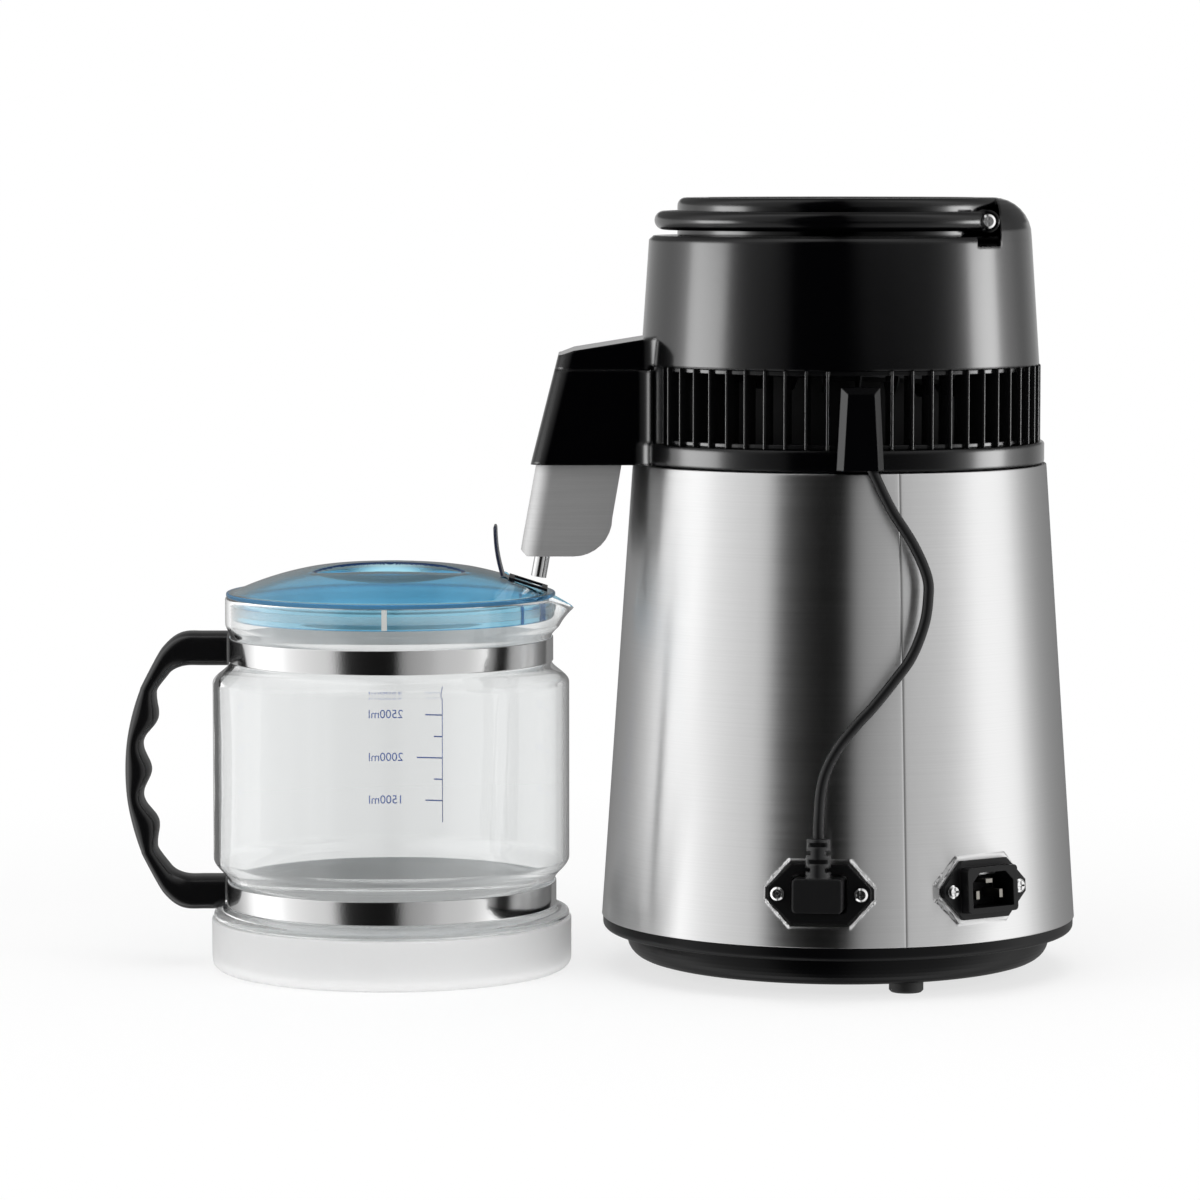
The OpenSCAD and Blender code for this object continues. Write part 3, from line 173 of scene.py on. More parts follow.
def surfaceObject(name, *grids):
    allPoints, allQuads, allUv, start = [], [], [], 0
    for grid in grids:
        points = grid["points"]
        rows, columns = points.shape[:2]
        lastRow = rows if grid.get("wrapRow") else rows - 1
        lastColumn = columns if grid.get("wrapColumn", True) else columns - 1
        r, c = np.meshgrid(np.arange(lastRow), np.arange(lastColumn), indexing="ij")
        r2, c2 = (r + 1) % rows, (c + 1) % columns
        quads = np.stack([r * columns + c, r * columns + c2, r2 * columns + c2, r2 * columns + c], -1).reshape(-1, 4)
        uv = np.stack([np.stack([c, c + 1, c + 1, c], -1) / lastColumn,
                       np.stack([r, r, r + 1, r + 1], -1) / lastRow], -1).reshape(-1, 4, 2)
        if "keep" in grid:
            chosen = grid["keep"].reshape(-1)
            quads, uv = quads[chosen], uv[chosen]
        allPoints.append(points.reshape(-1, 3))
        allQuads.append(quads + start)
        allUv.append(uv)
        start += rows * columns
    mesh = bpy.data.meshes.new(name)
    mesh.from_pydata(np.vstack(allPoints).tolist(), [], np.vstack(allQuads).tolist())
    layer = mesh.uv_layers.new(name="surface")
    layer.data.foreach_set("uv", np.vstack(allUv).reshape(-1).astype(np.float32))
    work = bmesh.new()
    work.from_mesh(mesh)
    bmesh.ops.remove_doubles(work, verts=work.verts, dist=meshSizes["merge"])
    bmesh.ops.dissolve_degenerate(work, edges=work.edges, dist=meshSizes["flat"])
    bmesh.ops.delete(work, geom=[v for v in work.verts if not v.link_faces], context="VERTS")
    if any("keep" in grid for grid in grids):
        closeCuts(work)
    bmesh.ops.recalc_face_normals(work, faces=work.faces)
    work.to_mesh(mesh)
    work.free()
    mesh.polygons.foreach_set("use_smooth", np.ones(len(mesh.polygons), bool))
    mesh.set_sharp_from_angle(angle=np.radians(meshSizes["sharpTurn"]))
    return added(name, mesh)


# A finished piece: it stands for CAD nodes, which it hides, and rides on a body
def place(obj, body, slot, *stands):
    if stands:
        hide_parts(*stands)
    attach(obj, body)
    return obj


# Angles of one full turn in equal steps
def fullTurn(count):
    return np.linspace(0.0, 2.0 * np.pi, count, endpoint=False)


# Rows of (radius, height) turned to each angle about the upright axis
def swept(radius, height, angle):
    return np.stack([radius * np.cos(angle), radius * np.sin(angle), height + 0.0 * angle], -1)


# Points of a turned shape from its profile (radius, height) about an upright axis at x
def turned(profile, columns, axisX):
    return swept(profile[:, :1], profile[:, 1:], fullTurn(columns)) + np.array([axisX, 0.0, 0.0])


# A grid with an end row, or an end column, added on both sides and drawn together to a point
def capped(points, axis=0):
    other = 1 - axis
    ends = [np.repeat(points.take([i], axis).mean(other, keepdims=True), points.shape[other], other) for i in (0, -1)]
    return np.concatenate([ends[0], points, ends[1]], axis)


# A wave from -1 to 1 raised to a power below one, which squares a round section towards a box
def boxy(wave, power):
    return np.sign(wave) * np.abs(wave) ** power


# A polyline of (radius, height) corners with each corner rounded by its own radius
def rounded(corners, steps):
    made = []
    count = len(corners)
    for i, (x, y, r) in enumerate(corners):
        here = np.array([x, y])
        if r <= 0 or i in (0, count - 1):
            made.append(here)
            continue
        back = np.array(corners[i - 1][:2]) - here
        ahead = np.array(corners[i + 1][:2]) - here
        cut = min(r, 0.49 * np.linalg.norm(back), 0.49 * np.linalg.norm(ahead))
        a = here + back / np.linalg.norm(back) * cut
        b = here + ahead / np.linalg.norm(ahead) * cut
        t = np.linspace(0.0, 1.0, steps)[:, None]
        made.extend((1 - t) ** 2 * a + 2 * t * (1 - t) * here + t ** 2 * b)
    return np.array(made)


# Points added to a polyline so that no step is longer than the given length
def refined(line, longest):
    made = [line[0]]
    for a, b in zip(line[:-1], line[1:]):
        count = max(1, int(np.ceil(np.linalg.norm(b - a) / longest)))
        made.extend(a + (b - a) * (k / count) for k in range(1, count + 1))
    return np.array(made)


# A smooth curve through knots, each span cut in equal steps
def throughKnots(knots, steps):
    k = np.vstack([2 * knots[0] - knots[1], knots, 2 * knots[-1] - knots[-2]])
    t = np.linspace(0.0, 1.0, steps, endpoint=False)[:, None]
    made = []
    for i in range(1, len(k) - 2):
        a, b, c, d = k[i - 1], k[i], k[i + 1], k[i + 2]
        made.append(0.5 * (2 * b + (c - a) * t + (2 * a - 5 * b + 4 * c - d) * t ** 2
                           + (3 * b - a - 3 * c + d) * t ** 3))
    return np.vstack(made + [knots[-1:]])


# A round tube along a path, closed at both ends by a pole
def tubePoints(path, radius, sides):
    tangent = np.gradient(path, axis=0)
    tangent /= np.linalg.norm(tangent, axis=1)[:, None]
    side = np.cross(tangent, [0.0, -1.0, 0.0])
    side /= np.linalg.norm(side, axis=1)[:, None]
    up = np.cross(side, tangent)
    angle = fullTurn(sides)[None, :, None]
    return capped(path[:, None] + radius * (np.cos(angle) * side[:, None] + np.sin(angle) * up[:, None]))


# Outer shell as a plain cone: its radius at a height, and its lean
shell = {"bottomR": 0.1176, "topR": 0.1023, "bottomZ": 0.0263, "topZ": 0.2518, "sheet": 0.0012, "hem": 0.0006}
shellLean = np.arctan((shell["bottomR"] - shell["topR"]) / (shell["topZ"] - shell["bottomZ"]))


def shellRadius(z):
    share = (z - shell["bottomZ"]) / (shell["topZ"] - shell["bottomZ"])
    return shell["bottomR"] + (shell["topR"] - shell["bottomR"]) * share


# A point at a turn round the boiler, counted from the photographed side: aside along the wall, reach from the axis
def atTurn(turn, aside, reach, height):
    c, s = np.cos(np.radians(turn)), np.sin(np.radians(turn))
    return np.stack([aside * c + reach * s, aside * s - reach * c, height + 0 * aside], -1)


# Where a point of a pad's own frame (aside, up the wall, out of the wall) lies on the leaning wall
def onShell(turn, z, aside, up, out):
    reach = shellRadius(z) + out * np.cos(shellLean) - up * np.sin(shellLean)
    height = z + out * np.sin(shellLean) + up * np.cos(shellLean)
    return atTurn(turn, aside, reach, height)


def pathLength(path):
    return float(np.linalg.norm(np.diff(path, axis=0), axis=1).sum())


# Lead between head and outlet socket: a round tube through the knots of its hanging bow. Each knot of the route gives
# millimetres aside, the share of the way down and millimetres off the wall
leadSizes = {"diameter": 0.0051, "coverTurn": 2.6, "coverRadius": 0.106775, "coverAside": 0.0049, "coverZ": 0.2559,
             "socketTurn": -6.9, "socketZ": 0.0524, "plugHalf": 0.0082, "reliefLength": 0.0186, "reliefOut": 0.0101,
             "seatGap": 0.0002, "lastRun": 0.008, "steps": 12, "middleKnot": 7, "sides": 20}
leadRoute = np.array([[19.3, .112, 6.5], [30.2, .211, 7.5], [36.8, .297, 8.5], [37.4, .358, 9], [35.3, .431, 9],
                      [29.3, .515, 8.5], [20.7, .581, 8], [11.2, .647, 7.5], [3.4, .695, 7], [-5, .755, 6.5],
                      [-10.8, .815, 6.5], [-13.6, .874, 7]])
leadFrom = atTurn(leadSizes["coverTurn"], leadSizes["coverAside"], leadSizes["coverRadius"], leadSizes["coverZ"])
reliefEnd = leadSizes["plugHalf"] + leadSizes["reliefLength"] + leadSizes["seatGap"]
leadUnder, leadTo = [onShell(leadSizes["socketTurn"], leadSizes["socketZ"], 0.0, up, leadSizes["reliefOut"])
                     for up in (reliefEnd + leadSizes["lastRun"], reliefEnd)]
routeX = leadRoute[:, 0] * 0.001
routeZ = leadFrom[2] - leadRoute[:, 1] * (leadFrom[2] - leadTo[2])
routeY = -np.sqrt((shellRadius(routeZ) + leadRoute[:, 2] * 0.001) ** 2 - routeX ** 2)
leadKnots = np.vstack([leadFrom, np.stack([routeX, routeY, routeZ], 1), leadUnder, leadTo])
leadPath = throughKnots(leadKnots, leadSizes["steps"])
leadMiddle = leadSizes["middleKnot"] * leadSizes["steps"]
upperPath, lowerPath = leadPath[:leadMiddle + 1], leadPath[leadMiddle:]
leadUpper, leadLower = [
    surfaceObject(name, {"points": tubePoints(path, leadSizes["diameter"] / 2, leadSizes["sides"])})
    for name, path in (("leadUpper", upperPath), ("leadLower", lowerPath))]
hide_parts("lead_upper")
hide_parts("lead_lower")
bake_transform(leadUpper)
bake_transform(leadLower)
print("stage: lead", round(pathLength(leadPath), 4))

# Outer shell: the cone with a hemmed foot and top, two flat pads with drafted edges, and one upright lap seam
pads = {"turns": (-6.9, 33.9), "z": 0.0524, "halfWide": 0.0261, "halfHigh": 0.0158, "tip": 0.0028, "flat": 0.55,
        "face": 0.0006, "draft": 0.0009, "holeWide": 0.0134, "holeHigh": 0.0099, "reach": 0.03}
seam = {"turn": 13.6, "deep": 0.00015, "half": 0.00055}
shellMesh = {"turn": 1.5, "padSpan": 17.0, "padTurn": 0.25, "seamSpan": 1.2, "seamTurn": 0.1, "backSpan": 9.0,
             "backTurn": 0.75, "leastTurn": 0.09, "row": 0.006, "padRows": 0.020, "padRow": 0.0006,
             "hemEase": 0.0009, "buttonHole": 0.0095}


# Distance outside a pad's eight-sided outline
def padOutside(aside, up):
    a, b, tip, flat = pads["halfWide"], pads["halfHigh"], pads["tip"], pads["flat"]
    slope = np.array([b - tip, a - flat * a])
    slope = slope / np.linalg.norm(slope)
    corner = slope @ np.array([a, tip])
    return np.maximum(np.maximum(np.abs(aside) - a, np.abs(up) - b),
                      np.abs(aside) * slope[0] + np.abs(up) * slope[1] - corner)


# Columns of the shell, closer together at the pads, at the seam and at the button behind
def denseTurns():
    m = shellMesh
    spans = [np.arange(-180.0, 180.0, m["turn"])]
    spans += [np.arange(turn - m["padSpan"], turn + m["padSpan"], m["padTurn"]) for turn in pads["turns"]]
    spans.append(seam["turn"] + np.arange(-m["seamSpan"], m["seamSpan"] + m["seamTurn"] / 10, m["seamTurn"]))
    back = np.arange(180.0 - m["backSpan"], 180.0 + m["backSpan"], m["backTurn"])
    spans.append(back - 360.0 * (back >= 180.0))
    made = np.unique(np.round(np.concatenate(spans), 3))
    return made[np.concatenate([[True], np.diff(made) > m["leastTurn"]])]


shellTurns = np.radians(denseTurns())
hem = shell["hem"]
outerRows = np.unique(np.round(np.concatenate([
    np.arange(shell["bottomZ"] + shellMesh["hemEase"], shell["topZ"] - shellMesh["hemEase"], shellMesh["row"]),
    np.arange(pads["z"] - shellMesh["padRows"], pads["z"] + shellMesh["padRows"], shellMesh["padRow"])]), 5))
hemAngle = np.linspace(0.0, np.pi, 7)
footRows = np.stack([shell["bottomR"] - hem - hem * np.cos(hemAngle),
                     shell["bottomZ"] + hem - hem * np.sin(hemAngle)], 1)
topRows = np.stack([shell["topR"] - hem + hem * np.cos(hemAngle), shell["topZ"] - hem + hem * np.sin(hemAngle)], 1)
innerRows = np.stack([shellRadius(outerRows[::-6]) - shell["sheet"], outerRows[::-6]], 1)
shellProfile = np.vstack([footRows, np.stack([shellRadius(outerRows), outerRows], 1), topRows, innerRows])
outside, inner = np.zeros((2, len(shellProfile), 1))
outside[len(footRows) - 2:len(footRows) + len(outerRows) + 2] = 1.0
inner[-len(innerRows):] = 1.0
wall = np.maximum(outside, inner)
radius = shellProfile[:, :1] + 0.0 * shellTurns
height = shellProfile[:, 1:] + 0.0 * shellTurns
seamAway = (shellTurns - np.radians(seam["turn"])) * radius
radius = radius - outside * seam["deep"] * np.exp(-(seamAway / seam["half"]) ** 2)
shellPoints = np.stack([radius * np.sin(shellTurns), -radius * np.cos(shellTurns), height], -1)
hole = np.zeros(radius.shape, bool)
for turn in pads["turns"]:
    t = np.radians(turn)
    asideAxis = np.array([np.cos(t), np.sin(t), 0.0])
    flatOut = np.array([np.sin(t), -np.cos(t), 0.0])
    outAxis = flatOut * np.cos(shellLean) + np.array([0, 0, np.sin(shellLean)])
    upAxis = np.array([0, 0, np.cos(shellLean)]) - flatOut * np.sin(shellLean)
    local = shellPoints - onShell(turn, pads["z"], 0.0, 0.0, 0.0)
    aside, up, out = local @ asideAxis, local @ upAxis, local @ outAxis
    near = out > -pads["reach"]
    press = np.where(near, 1.0 - smooth(0.0, pads["draft"], padOutside(aside, up)), 0.0)
    target = pads["face"] - inner * shell["sheet"]
    shellPoints = shellPoints + (press * (target - out) * wall)[..., None] * outAxis
    hole |= near & (np.abs(aside) < pads["holeWide"]) & (np.abs(up) < pads["holeHigh"])
low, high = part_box("start_button")
buttonAway = np.hypot(shellPoints[..., 0], shellPoints[..., 2] - (low[2] + high[2]) / 2)
hole |= (shellPoints[..., 1] > 0) & (buttonAway < shellMesh["buttonHole"])
hole &= wall > 0
corner = hole & np.roll(hole, -1, 0)
openFace = corner & np.roll(corner, -1, 1)
steelShell = surfaceObject("steelShell", {"points": shellPoints, "wrapRow": True, "keep": ~openFace})
place(steelShell, "base", "steel_brushed", "outer_shell")
print("stage: shell", len(steelShell.data.polygons))

# Louvres: upright fins with round noses between two hoops, left out behind the cord cover and the spout housing, with
# a blank wall on each side of the housing
fins = {"count": 60, "r": 0.0992, "deep": 0.0101, "thick": 0.0015, "lowZ": 0.2630, "highZ": 0.3005,
        "clearSpout": 25.0, "clearCover": 8.0, "coverAngle": 272.6}
hoops = {"high": 0.0022, "setBack": 0.0024, "bend": 0.0003, "columns": 180}
blanks = {"turns": (19.1, 27.0), "inside": 0.0034, "outside": 0.0006}
noseR, backR = fins["thick"] / 2, fins["r"] - fins["deep"]
noseTurn = np.linspace(-np.pi / 2, np.pi / 2, 9)
section = np.vstack([np.stack([fins["r"] - noseR + noseR * np.cos(noseTurn), noseR * np.sin(noseTurn)], 1),
                     [[backR, noseR], [backR, -noseR]]])
levels = np.array([[fins["lowZ"]], [fins["highZ"]]])
finGrids = []
for angle in np.arange(fins["count"]) * 360.0 / fins["count"]:
    if abs(angle - 180) <= fins["clearSpout"] or abs(angle - fins["coverAngle"]) <= fins["clearCover"]:
        continue
    a = np.radians(angle)
    x = section[:, 0] * np.cos(a) - section[:, 1] * np.sin(a)
    y = section[:, 0] * np.sin(a) + section[:, 1] * np.cos(a)
    finGrids.append({"points": capped(np.stack([x + 0 * levels, y + 0 * levels, levels + 0 * x], -1))})
for low, high in ((fins["lowZ"], fins["lowZ"] + hoops["high"]), (fins["highZ"] - hoops["high"], fins["highZ"])):
    front, bend = fins["r"] - hoops["setBack"], hoops["bend"]
    hoop = rounded([(backR, low, 0), (front, low, bend), (front, high, bend), (backR, high, bend)], 4)
    finGrids.append({"points": turned(hoop, hoops["columns"], 0.0), "wrapRow": True})
for side in (-1, 1):
    sweep = np.radians(180 + side * np.linspace(*blanks["turns"], 9))
    blankR = fins["r"] - np.array([[blanks[face]] for face in ("inside", "outside", "outside", "inside")])
    points = capped(swept(blankR, np.repeat(levels, 2, 0), sweep), 1)
    finGrids.append({"points": points, "wrapRow": True, "wrapColumn": False})
louvreFins = place(surfaceObject("louvreFins", *finGrids), "head", "louvre_plastic", "louvre_ring")
print("stage: louvres", len(louvreFins.data.polygons))

# Carafe: a turned glass wall of even thickness, blended steps between its radii, and a pouring lip drawn from the rim
jug = {"axisX": -0.2225, "floorZ": 0.0032, "floorR": 0.0865, "floorBend": 0.012, "bootTop": 0.0255, "bulgeR": 0.0885,
       "bulgeZ": 0.0282, "waistR": 0.0812, "waistZ0": 0.0318, "waistZ1": 0.0434, "bodyR": 0.0886, "bodyZ0": 0.0554,
       "bodyZ1": 0.1424, "neckR": 0.0797, "neckZ0": 0.1534, "neckZ1": 0.1652, "collarR": 0.0822, "rimZ": 0.1853,
       "wall": 0.0026, "lipOut": 0.0092, "lipTurn": 11.0, "lipDrop": 0.6, "lipRise": 1.5, "lipPower": 2.2,
       "collarRise": 0.007, "waistRun": 0.004, "waistDip": 0.0004, "bulgeBend": 0.0016,
       "step": (0.0002, 0.0005), "stepBend": (0.0002, 0.0008)}
jugMesh = {"turn": 2.0, "lipSpan": 34.0, "lipTurn": 0.8, "footRow": 0.012, "footBend": 10, "straight": 8, "swell": 18}
jugAxis = np.array([jug["axisX"], 0.0, 0.0])


# One face of the wall, moved inwards by t: floor, foot bulge, then straight runs joined by half cosine swells
def jugLine(t):
    floorR, waistR, waistZ = jug["floorR"] - t, jug["waistR"] - t, jug["waistZ0"]
    bulge = jug["bulgeR"] if t == 0 else floorR
    foot = [(0.0, jug["floorZ"] + t, 0), (floorR, jug["floorZ"] + t, jug["floorBend"] - t),
            (floorR, jug["bootTop"] - jug["step"][0], jug["stepBend"][0]),
            (bulge, jug["bootTop"] + jug["step"][1], jug["stepBend"][1]), (bulge, jug["bulgeZ"], jug["bulgeBend"]),
            (waistR, waistZ - jug["waistDip"], jug["bulgeBend"]), (waistR, waistZ + jug["waistRun"], 0)]
    runs = [(jug["waistR"], waistZ + jug["waistRun"]), (jug["waistR"], jug["waistZ1"]), (jug["bodyR"], jug["bodyZ0"]),
            (jug["bodyR"], jug["bodyZ1"]), (jug["neckR"], jug["neckZ0"]), (jug["neckR"], jug["neckZ1"]),
            (jug["collarR"], jug["neckZ1"] + jug["collarRise"]), (jug["collarR"], jug["rimZ"] - jug["wall"] / 2)]
    made = [refined(rounded(foot, jugMesh["footBend"]), jugMesh["footRow"])[:-1]]
    for (r0, z0), (r1, z1) in zip(runs[:-1], runs[1:]):
        share = np.linspace(0.0, 1.0, jugMesh["straight" if r0 == r1 else "swell"], endpoint=False)
        made.append(np.stack([r0 - t + (r1 - r0) * (1 - np.cos(np.pi * share)) / 2, z0 + (z1 - z0) * share], 1))
    return np.vstack(made + [[[runs[-1][0] - t, runs[-1][1]]]])


half = np.linspace(0.0, np.pi, 9)[1:-1]
lipR = jug["wall"] / 2
rim = np.stack([jug["collarR"] - lipR + lipR * np.cos(half), jug["rimZ"] - lipR + lipR * np.sin(half)], 1)
jugProfile = np.vstack([jugLine(0.0), rim, jugLine(jug["wall"])[::-1]])
lipTurns = np.arange(-jugMesh["lipSpan"], jugMesh["lipSpan"], jugMesh["lipTurn"])
jugTurns = np.concatenate([np.arange(-180, 180, jugMesh["turn"]), lipTurns])
jugTurns = np.radians(np.unique(np.round(jugTurns, 3)))
lipRise = np.clip((jugProfile[:, 1:] - jug["neckZ1"]) / (jug["rimZ"] - jug["neckZ1"]), 0, 1) ** jug["lipRise"]
lip = jug["lipOut"] * lipRise * np.exp(-np.abs(np.degrees(jugTurns) / jug["lipTurn"]) ** jug["lipPower"])
jugPoints = swept(jugProfile[:, :1] + lip, jugProfile[:, 1:] - jug["lipDrop"] * lip, jugTurns) + jugAxis
carafeGlass = place(surfaceObject("carafeGlass", {"points": jugPoints}), "carafe", "clear_glass", "carafe_glass")
print("stage: glass", len(carafeGlass.data.polygons))

# Boot under the jug: a thin cup with a rounded foot and a soft upper lip
boot = {"outR": 0.0896, "height": 0.0253, "wall": 0.0028, "floor": 0.0029, "bends": (0.006, 0.0012, 0.001, 0.0115)}
bootIn, bootBends = boot["outR"] - boot["wall"], boot["bends"]
bootCorners = [(0.0, 0.0, 0), (boot["outR"], 0.0, bootBends[0]), (boot["outR"], boot["height"], bootBends[1]),
               (bootIn, boot["height"], bootBends[2]), (bootIn, boot["floor"], bootBends[3]), (0.0, boot["floor"], 0)]
bootCup = surfaceObject("bootCup", {"points": turned(refined(rounded(bootCorners, 9), 0.006), 180, jug["axisX"])})
place(bootCup, "carafe", "boot_plastic", "base_boot")

# Steel bands: thin flat hoops with eased edges, each by its radius, its two heights and its thickness
bandSizes = {"lower": (0.08215, 0.0318, 0.0434, 0.0008), "upper": (0.08065, 0.1534, 0.1652, 0.0008)}
bandBends = {"inside": 0.0003, "outside": 0.0004}
bands = []
for which, (bandR, low, high, sheet) in bandSizes.items():
    backR, middleZ = bandR - sheet, (low + high) / 2
    corners = [(backR, middleZ, 0), (backR, low, bandBends["inside"]), (bandR, low, bandBends["outside"]),
               (bandR, high, bandBends["outside"]), (backR, high, bandBends["inside"]), (backR, middleZ, 0)]
    band = surfaceObject(which + "Band", {"points": turned(rounded(corners, 5), 200, jug["axisX"])})
    bands.append(place(band, "carafe", "band_steel", which + "_band"))
print("stage: boot and bands")

# Carafe handle: a loft of boxy rounds from the upper band, round an arc with finger bumps, to the lower band. Each row
# gives the outer and the inner edge as reach from the jug's axis and height
grip = {"midZ": 0.0984, "armDz": 0.0609, "arcR": 0.111, "reach": 0.1323, "thick": 0.0103, "bump": 0.0025,
        "pitch": 0.029, "halfTurn": 23.0, "wide": 0.023, "power": 0.62, "upperR": 0.08085, "lowerR": 0.08235,
        "armHalf": 0.0084, "screwIn": 0.009, "boreR": 0.0040, "boreEase": 0.0005, "boreFloor": 0.0084,
        "steps": 10, "sides": 64}
gripBend = np.array([[93, 8.4, 93, -8.4], [101.5, 8.3, 100.5, -8.4], [107, 6.4, 105.2, -9.4],
                     [111.8, 2.4, 108.8, -11.3], [115.8, -3, 111.6, -14.4]]) * 0.001
footClear = {"z": (0.0, 0.0279, 0.0316, 0.0318, 1.0), "r": (0.09, 0.09, 0.0831, 0.0, 0.0)}
arcTurn = np.radians(np.linspace(grip["halfTurn"], -grip["halfTurn"], 25))
bumps = grip["bump"] * np.cos(2 * np.pi * grip["arcR"] * np.sin(arcTurn) / grip["pitch"])
arcInner = grip["arcR"] - grip["thick"] - bumps
arcMiddle = grip["reach"] - grip["arcR"]
arcRows = np.stack([arcMiddle + grip["arcR"] * np.cos(arcTurn), grip["arcR"] * np.sin(arcTurn),
                    arcMiddle + arcInner * np.cos(arcTurn), arcInner * np.sin(arcTurn)], 1)
upperBend = gripBend + np.array([0, grip["armDz"], 0, grip["armDz"]])
lowerBend = upperBend[::-1] * np.array([1, -1, 1, -1])
armUpper, armLower = [[[r, side * (grip["armDz"] + grip["armHalf"]), r, side * (grip["armDz"] - grip["armHalf"])]]
                      for r, side in ((grip["upperR"], 1), (grip["lowerR"], -1))]
gripRows = throughKnots(np.vstack([armUpper, upperBend, arcRows, lowerBend, armLower]), grip["steps"])
middle, reachHalf = (gripRows[:, :2] + gripRows[:, 2:]) / 2, (gripRows[:, :2] - gripRows[:, 2:]) / 2
sectionTurn = fullTurn(grip["sides"])
across = boxy(np.cos(sectionTurn), grip["power"])
gripX = jug["axisX"] - (middle[:, :1] + reachHalf[:, :1] * across)
gripZ = grip["midZ"] + middle[:, 1:] + reachHalf[:, 1:] * across
gripY = grip["wide"] / 2 * boxy(np.sin(sectionTurn), grip["power"]) + 0.0 * gripX
for bandR, low, high, sheet in bandSizes.values():
    boreAway = np.hypot(gripX - (jug["axisX"] - bandR - grip["screwIn"]), gripZ - (low + high) / 2)
    rise = smooth(grip["boreR"], grip["boreR"] + grip["boreEase"], boreAway)
    sunk = np.minimum(gripY, grip["boreFloor"] + (grip["wide"] / 2 - grip["boreFloor"]) * rise)
    gripY = np.where(gripY > 0, sunk, gripY)
gripX = np.minimum(gripX, jug["axisX"] - np.interp(gripZ, footClear["z"], footClear["r"]))
carafeGrip = surfaceObject("carafeGrip", {"points": capped(np.stack([gripX, gripY, gripZ], -1))})
place(carafeGrip, "carafe", "grip_plastic", "carafe_handle")
print("stage: handle", len(carafeGrip.data.polygons))

# Lid dome: a turned shell whose height follows a power curve, hollowed on both sides of the rib by a bar bent upwards
lid = {"z": 0.1855, "r": 0.0817, "flange": 0.002, "wall": 0.0024, "domeR": 0.078, "domeH": 0.015, "power": 2.4,
       "skirtR": 0.0786, "skirtDrop": 0.011, "skirtTop": -0.002, "bends": (0.0009, 0.0006, 0.0008), "gap": 0.0006,
       "under": 0.0004, "spout": (0.0608, 0.0758, 0.0105), "spoutLow": -0.0015, "notch": 0.0016}
scoop = {"y": 0.0215, "r": 0.021, "bend": 0.215, "floor": 0.0098, "ease": 0.0006}
lidMesh = {"columns": 360, "hollowR": 0.05, "hollowRows": 60, "edgeR": 0.0508, "edgeRows": 34, "row": 0.0015}
lidBase = np.array([jug["axisX"], 0.0, lid["z"]])


# Height of the plain crown without its hollows
def crown(x, y):
    return lid["flange"] + lid["domeH"] * (1.0 - np.clip(np.hypot(x, y) / lid["domeR"], 0, 1) ** lid["power"])


# The lower of the crown and the bent bar's underside, eased into each other by a parabola
def lidHeight(x, y):
    aside = np.abs(y) - scoop["y"]
    bar = np.sqrt(np.clip(scoop["r"] ** 2 - aside ** 2, 0, None))
    hollow = scoop["floor"] + scoop["bend"] - np.sqrt((scoop["bend"] - scoop["r"] + bar) ** 2 - x ** 2)
    hollow = np.where(np.abs(aside) < scoop["r"], hollow, 1.0)
    mix = np.clip(0.5 + 0.5 * (hollow - crown(x, y)) / scoop["ease"], 0, 1)
    return hollow * (1 - mix) + crown(x, y) * mix - scoop["ease"] * mix * (1 - mix)


domeRows = np.concatenate([np.linspace(0.0, lidMesh["hollowR"], lidMesh["hollowRows"]),
                           np.linspace(lidMesh["edgeR"], lid["domeR"], lidMesh["edgeRows"])])[:, None]
lidTurns = fullTurn(lidMesh["columns"])
dx, dy = domeRows * np.cos(lidTurns), domeRows * np.sin(lidTurns)
topFace = np.stack([dx, dy, lidHeight(dx, dy)], -1)
skirtIn, (flangeBend, innerBend, skirtBend) = lid["skirtR"] - lid["wall"], lid["bends"]
tuck = skirtIn / lid["domeR"]
underFace = np.stack([dx * tuck, dy * tuck, lidHeight(dx, dy) - lid["wall"] - lid["under"]], -1)[::-1]
foot = -lid["skirtDrop"]
edgeCorners = [(lid["domeR"] + lid["gap"], lid["flange"], 0), (lid["r"], lid["flange"], flangeBend),
               (lid["r"], 0.0, innerBend), (lid["skirtR"], 0.0, innerBend), (lid["skirtR"], foot, skirtBend),
               (skirtIn, foot, skirtBend), (skirtIn, lid["skirtTop"], 0)]
edge = refined(rounded(edgeCorners, 6), lidMesh["row"])
notch = np.exp(-((lidTurns - 1.5 * np.pi) * lid["skirtR"] / lid["notch"]) ** 4) * lid["notch"]
onSkirt = ((edge[:, 1] < -0.0005) & (edge[:, 0] > lid["skirtR"] - innerBend))[:, None]
lidPoints = np.concatenate([topFace, swept(edge[:, :1] - notch * onSkirt, edge[:, 1:], lidTurns), underFace])
spoutX0, spoutX1, spoutHalf = lid["spout"]
inSpout = ((lidPoints[..., 0] > spoutX0) & (lidPoints[..., 0] < spoutX1) & (np.abs(lidPoints[..., 1]) < spoutHalf)
           & (lidPoints[..., 2] > lid["spoutLow"]))
inBoth = inSpout[:-1] & inSpout[1:]
lidGrids = [{"points": lidPoints + lidBase, "keep": ~(inBoth & np.roll(inBoth, -1, 1))}]
pivot = {"x": 0.0562, "z": 0.008, "lugY": 0.0136, "lugR": 0.0027, "lugHalf": 0.0011}
hinge = lidBase + np.array([pivot["x"], 0.0, pivot["z"]])


# A round bar along Y about a centre, closed at both ends
def barAlongY(centre, radius, half, sides=28):
    turn, ends = fullTurn(sides), np.array([[-half], [half]])
    points = [radius * np.cos(turn) + 0 * ends, ends + 0 * turn, radius * np.sin(turn) + 0 * ends]
    return centre + capped(np.stack(points, -1))


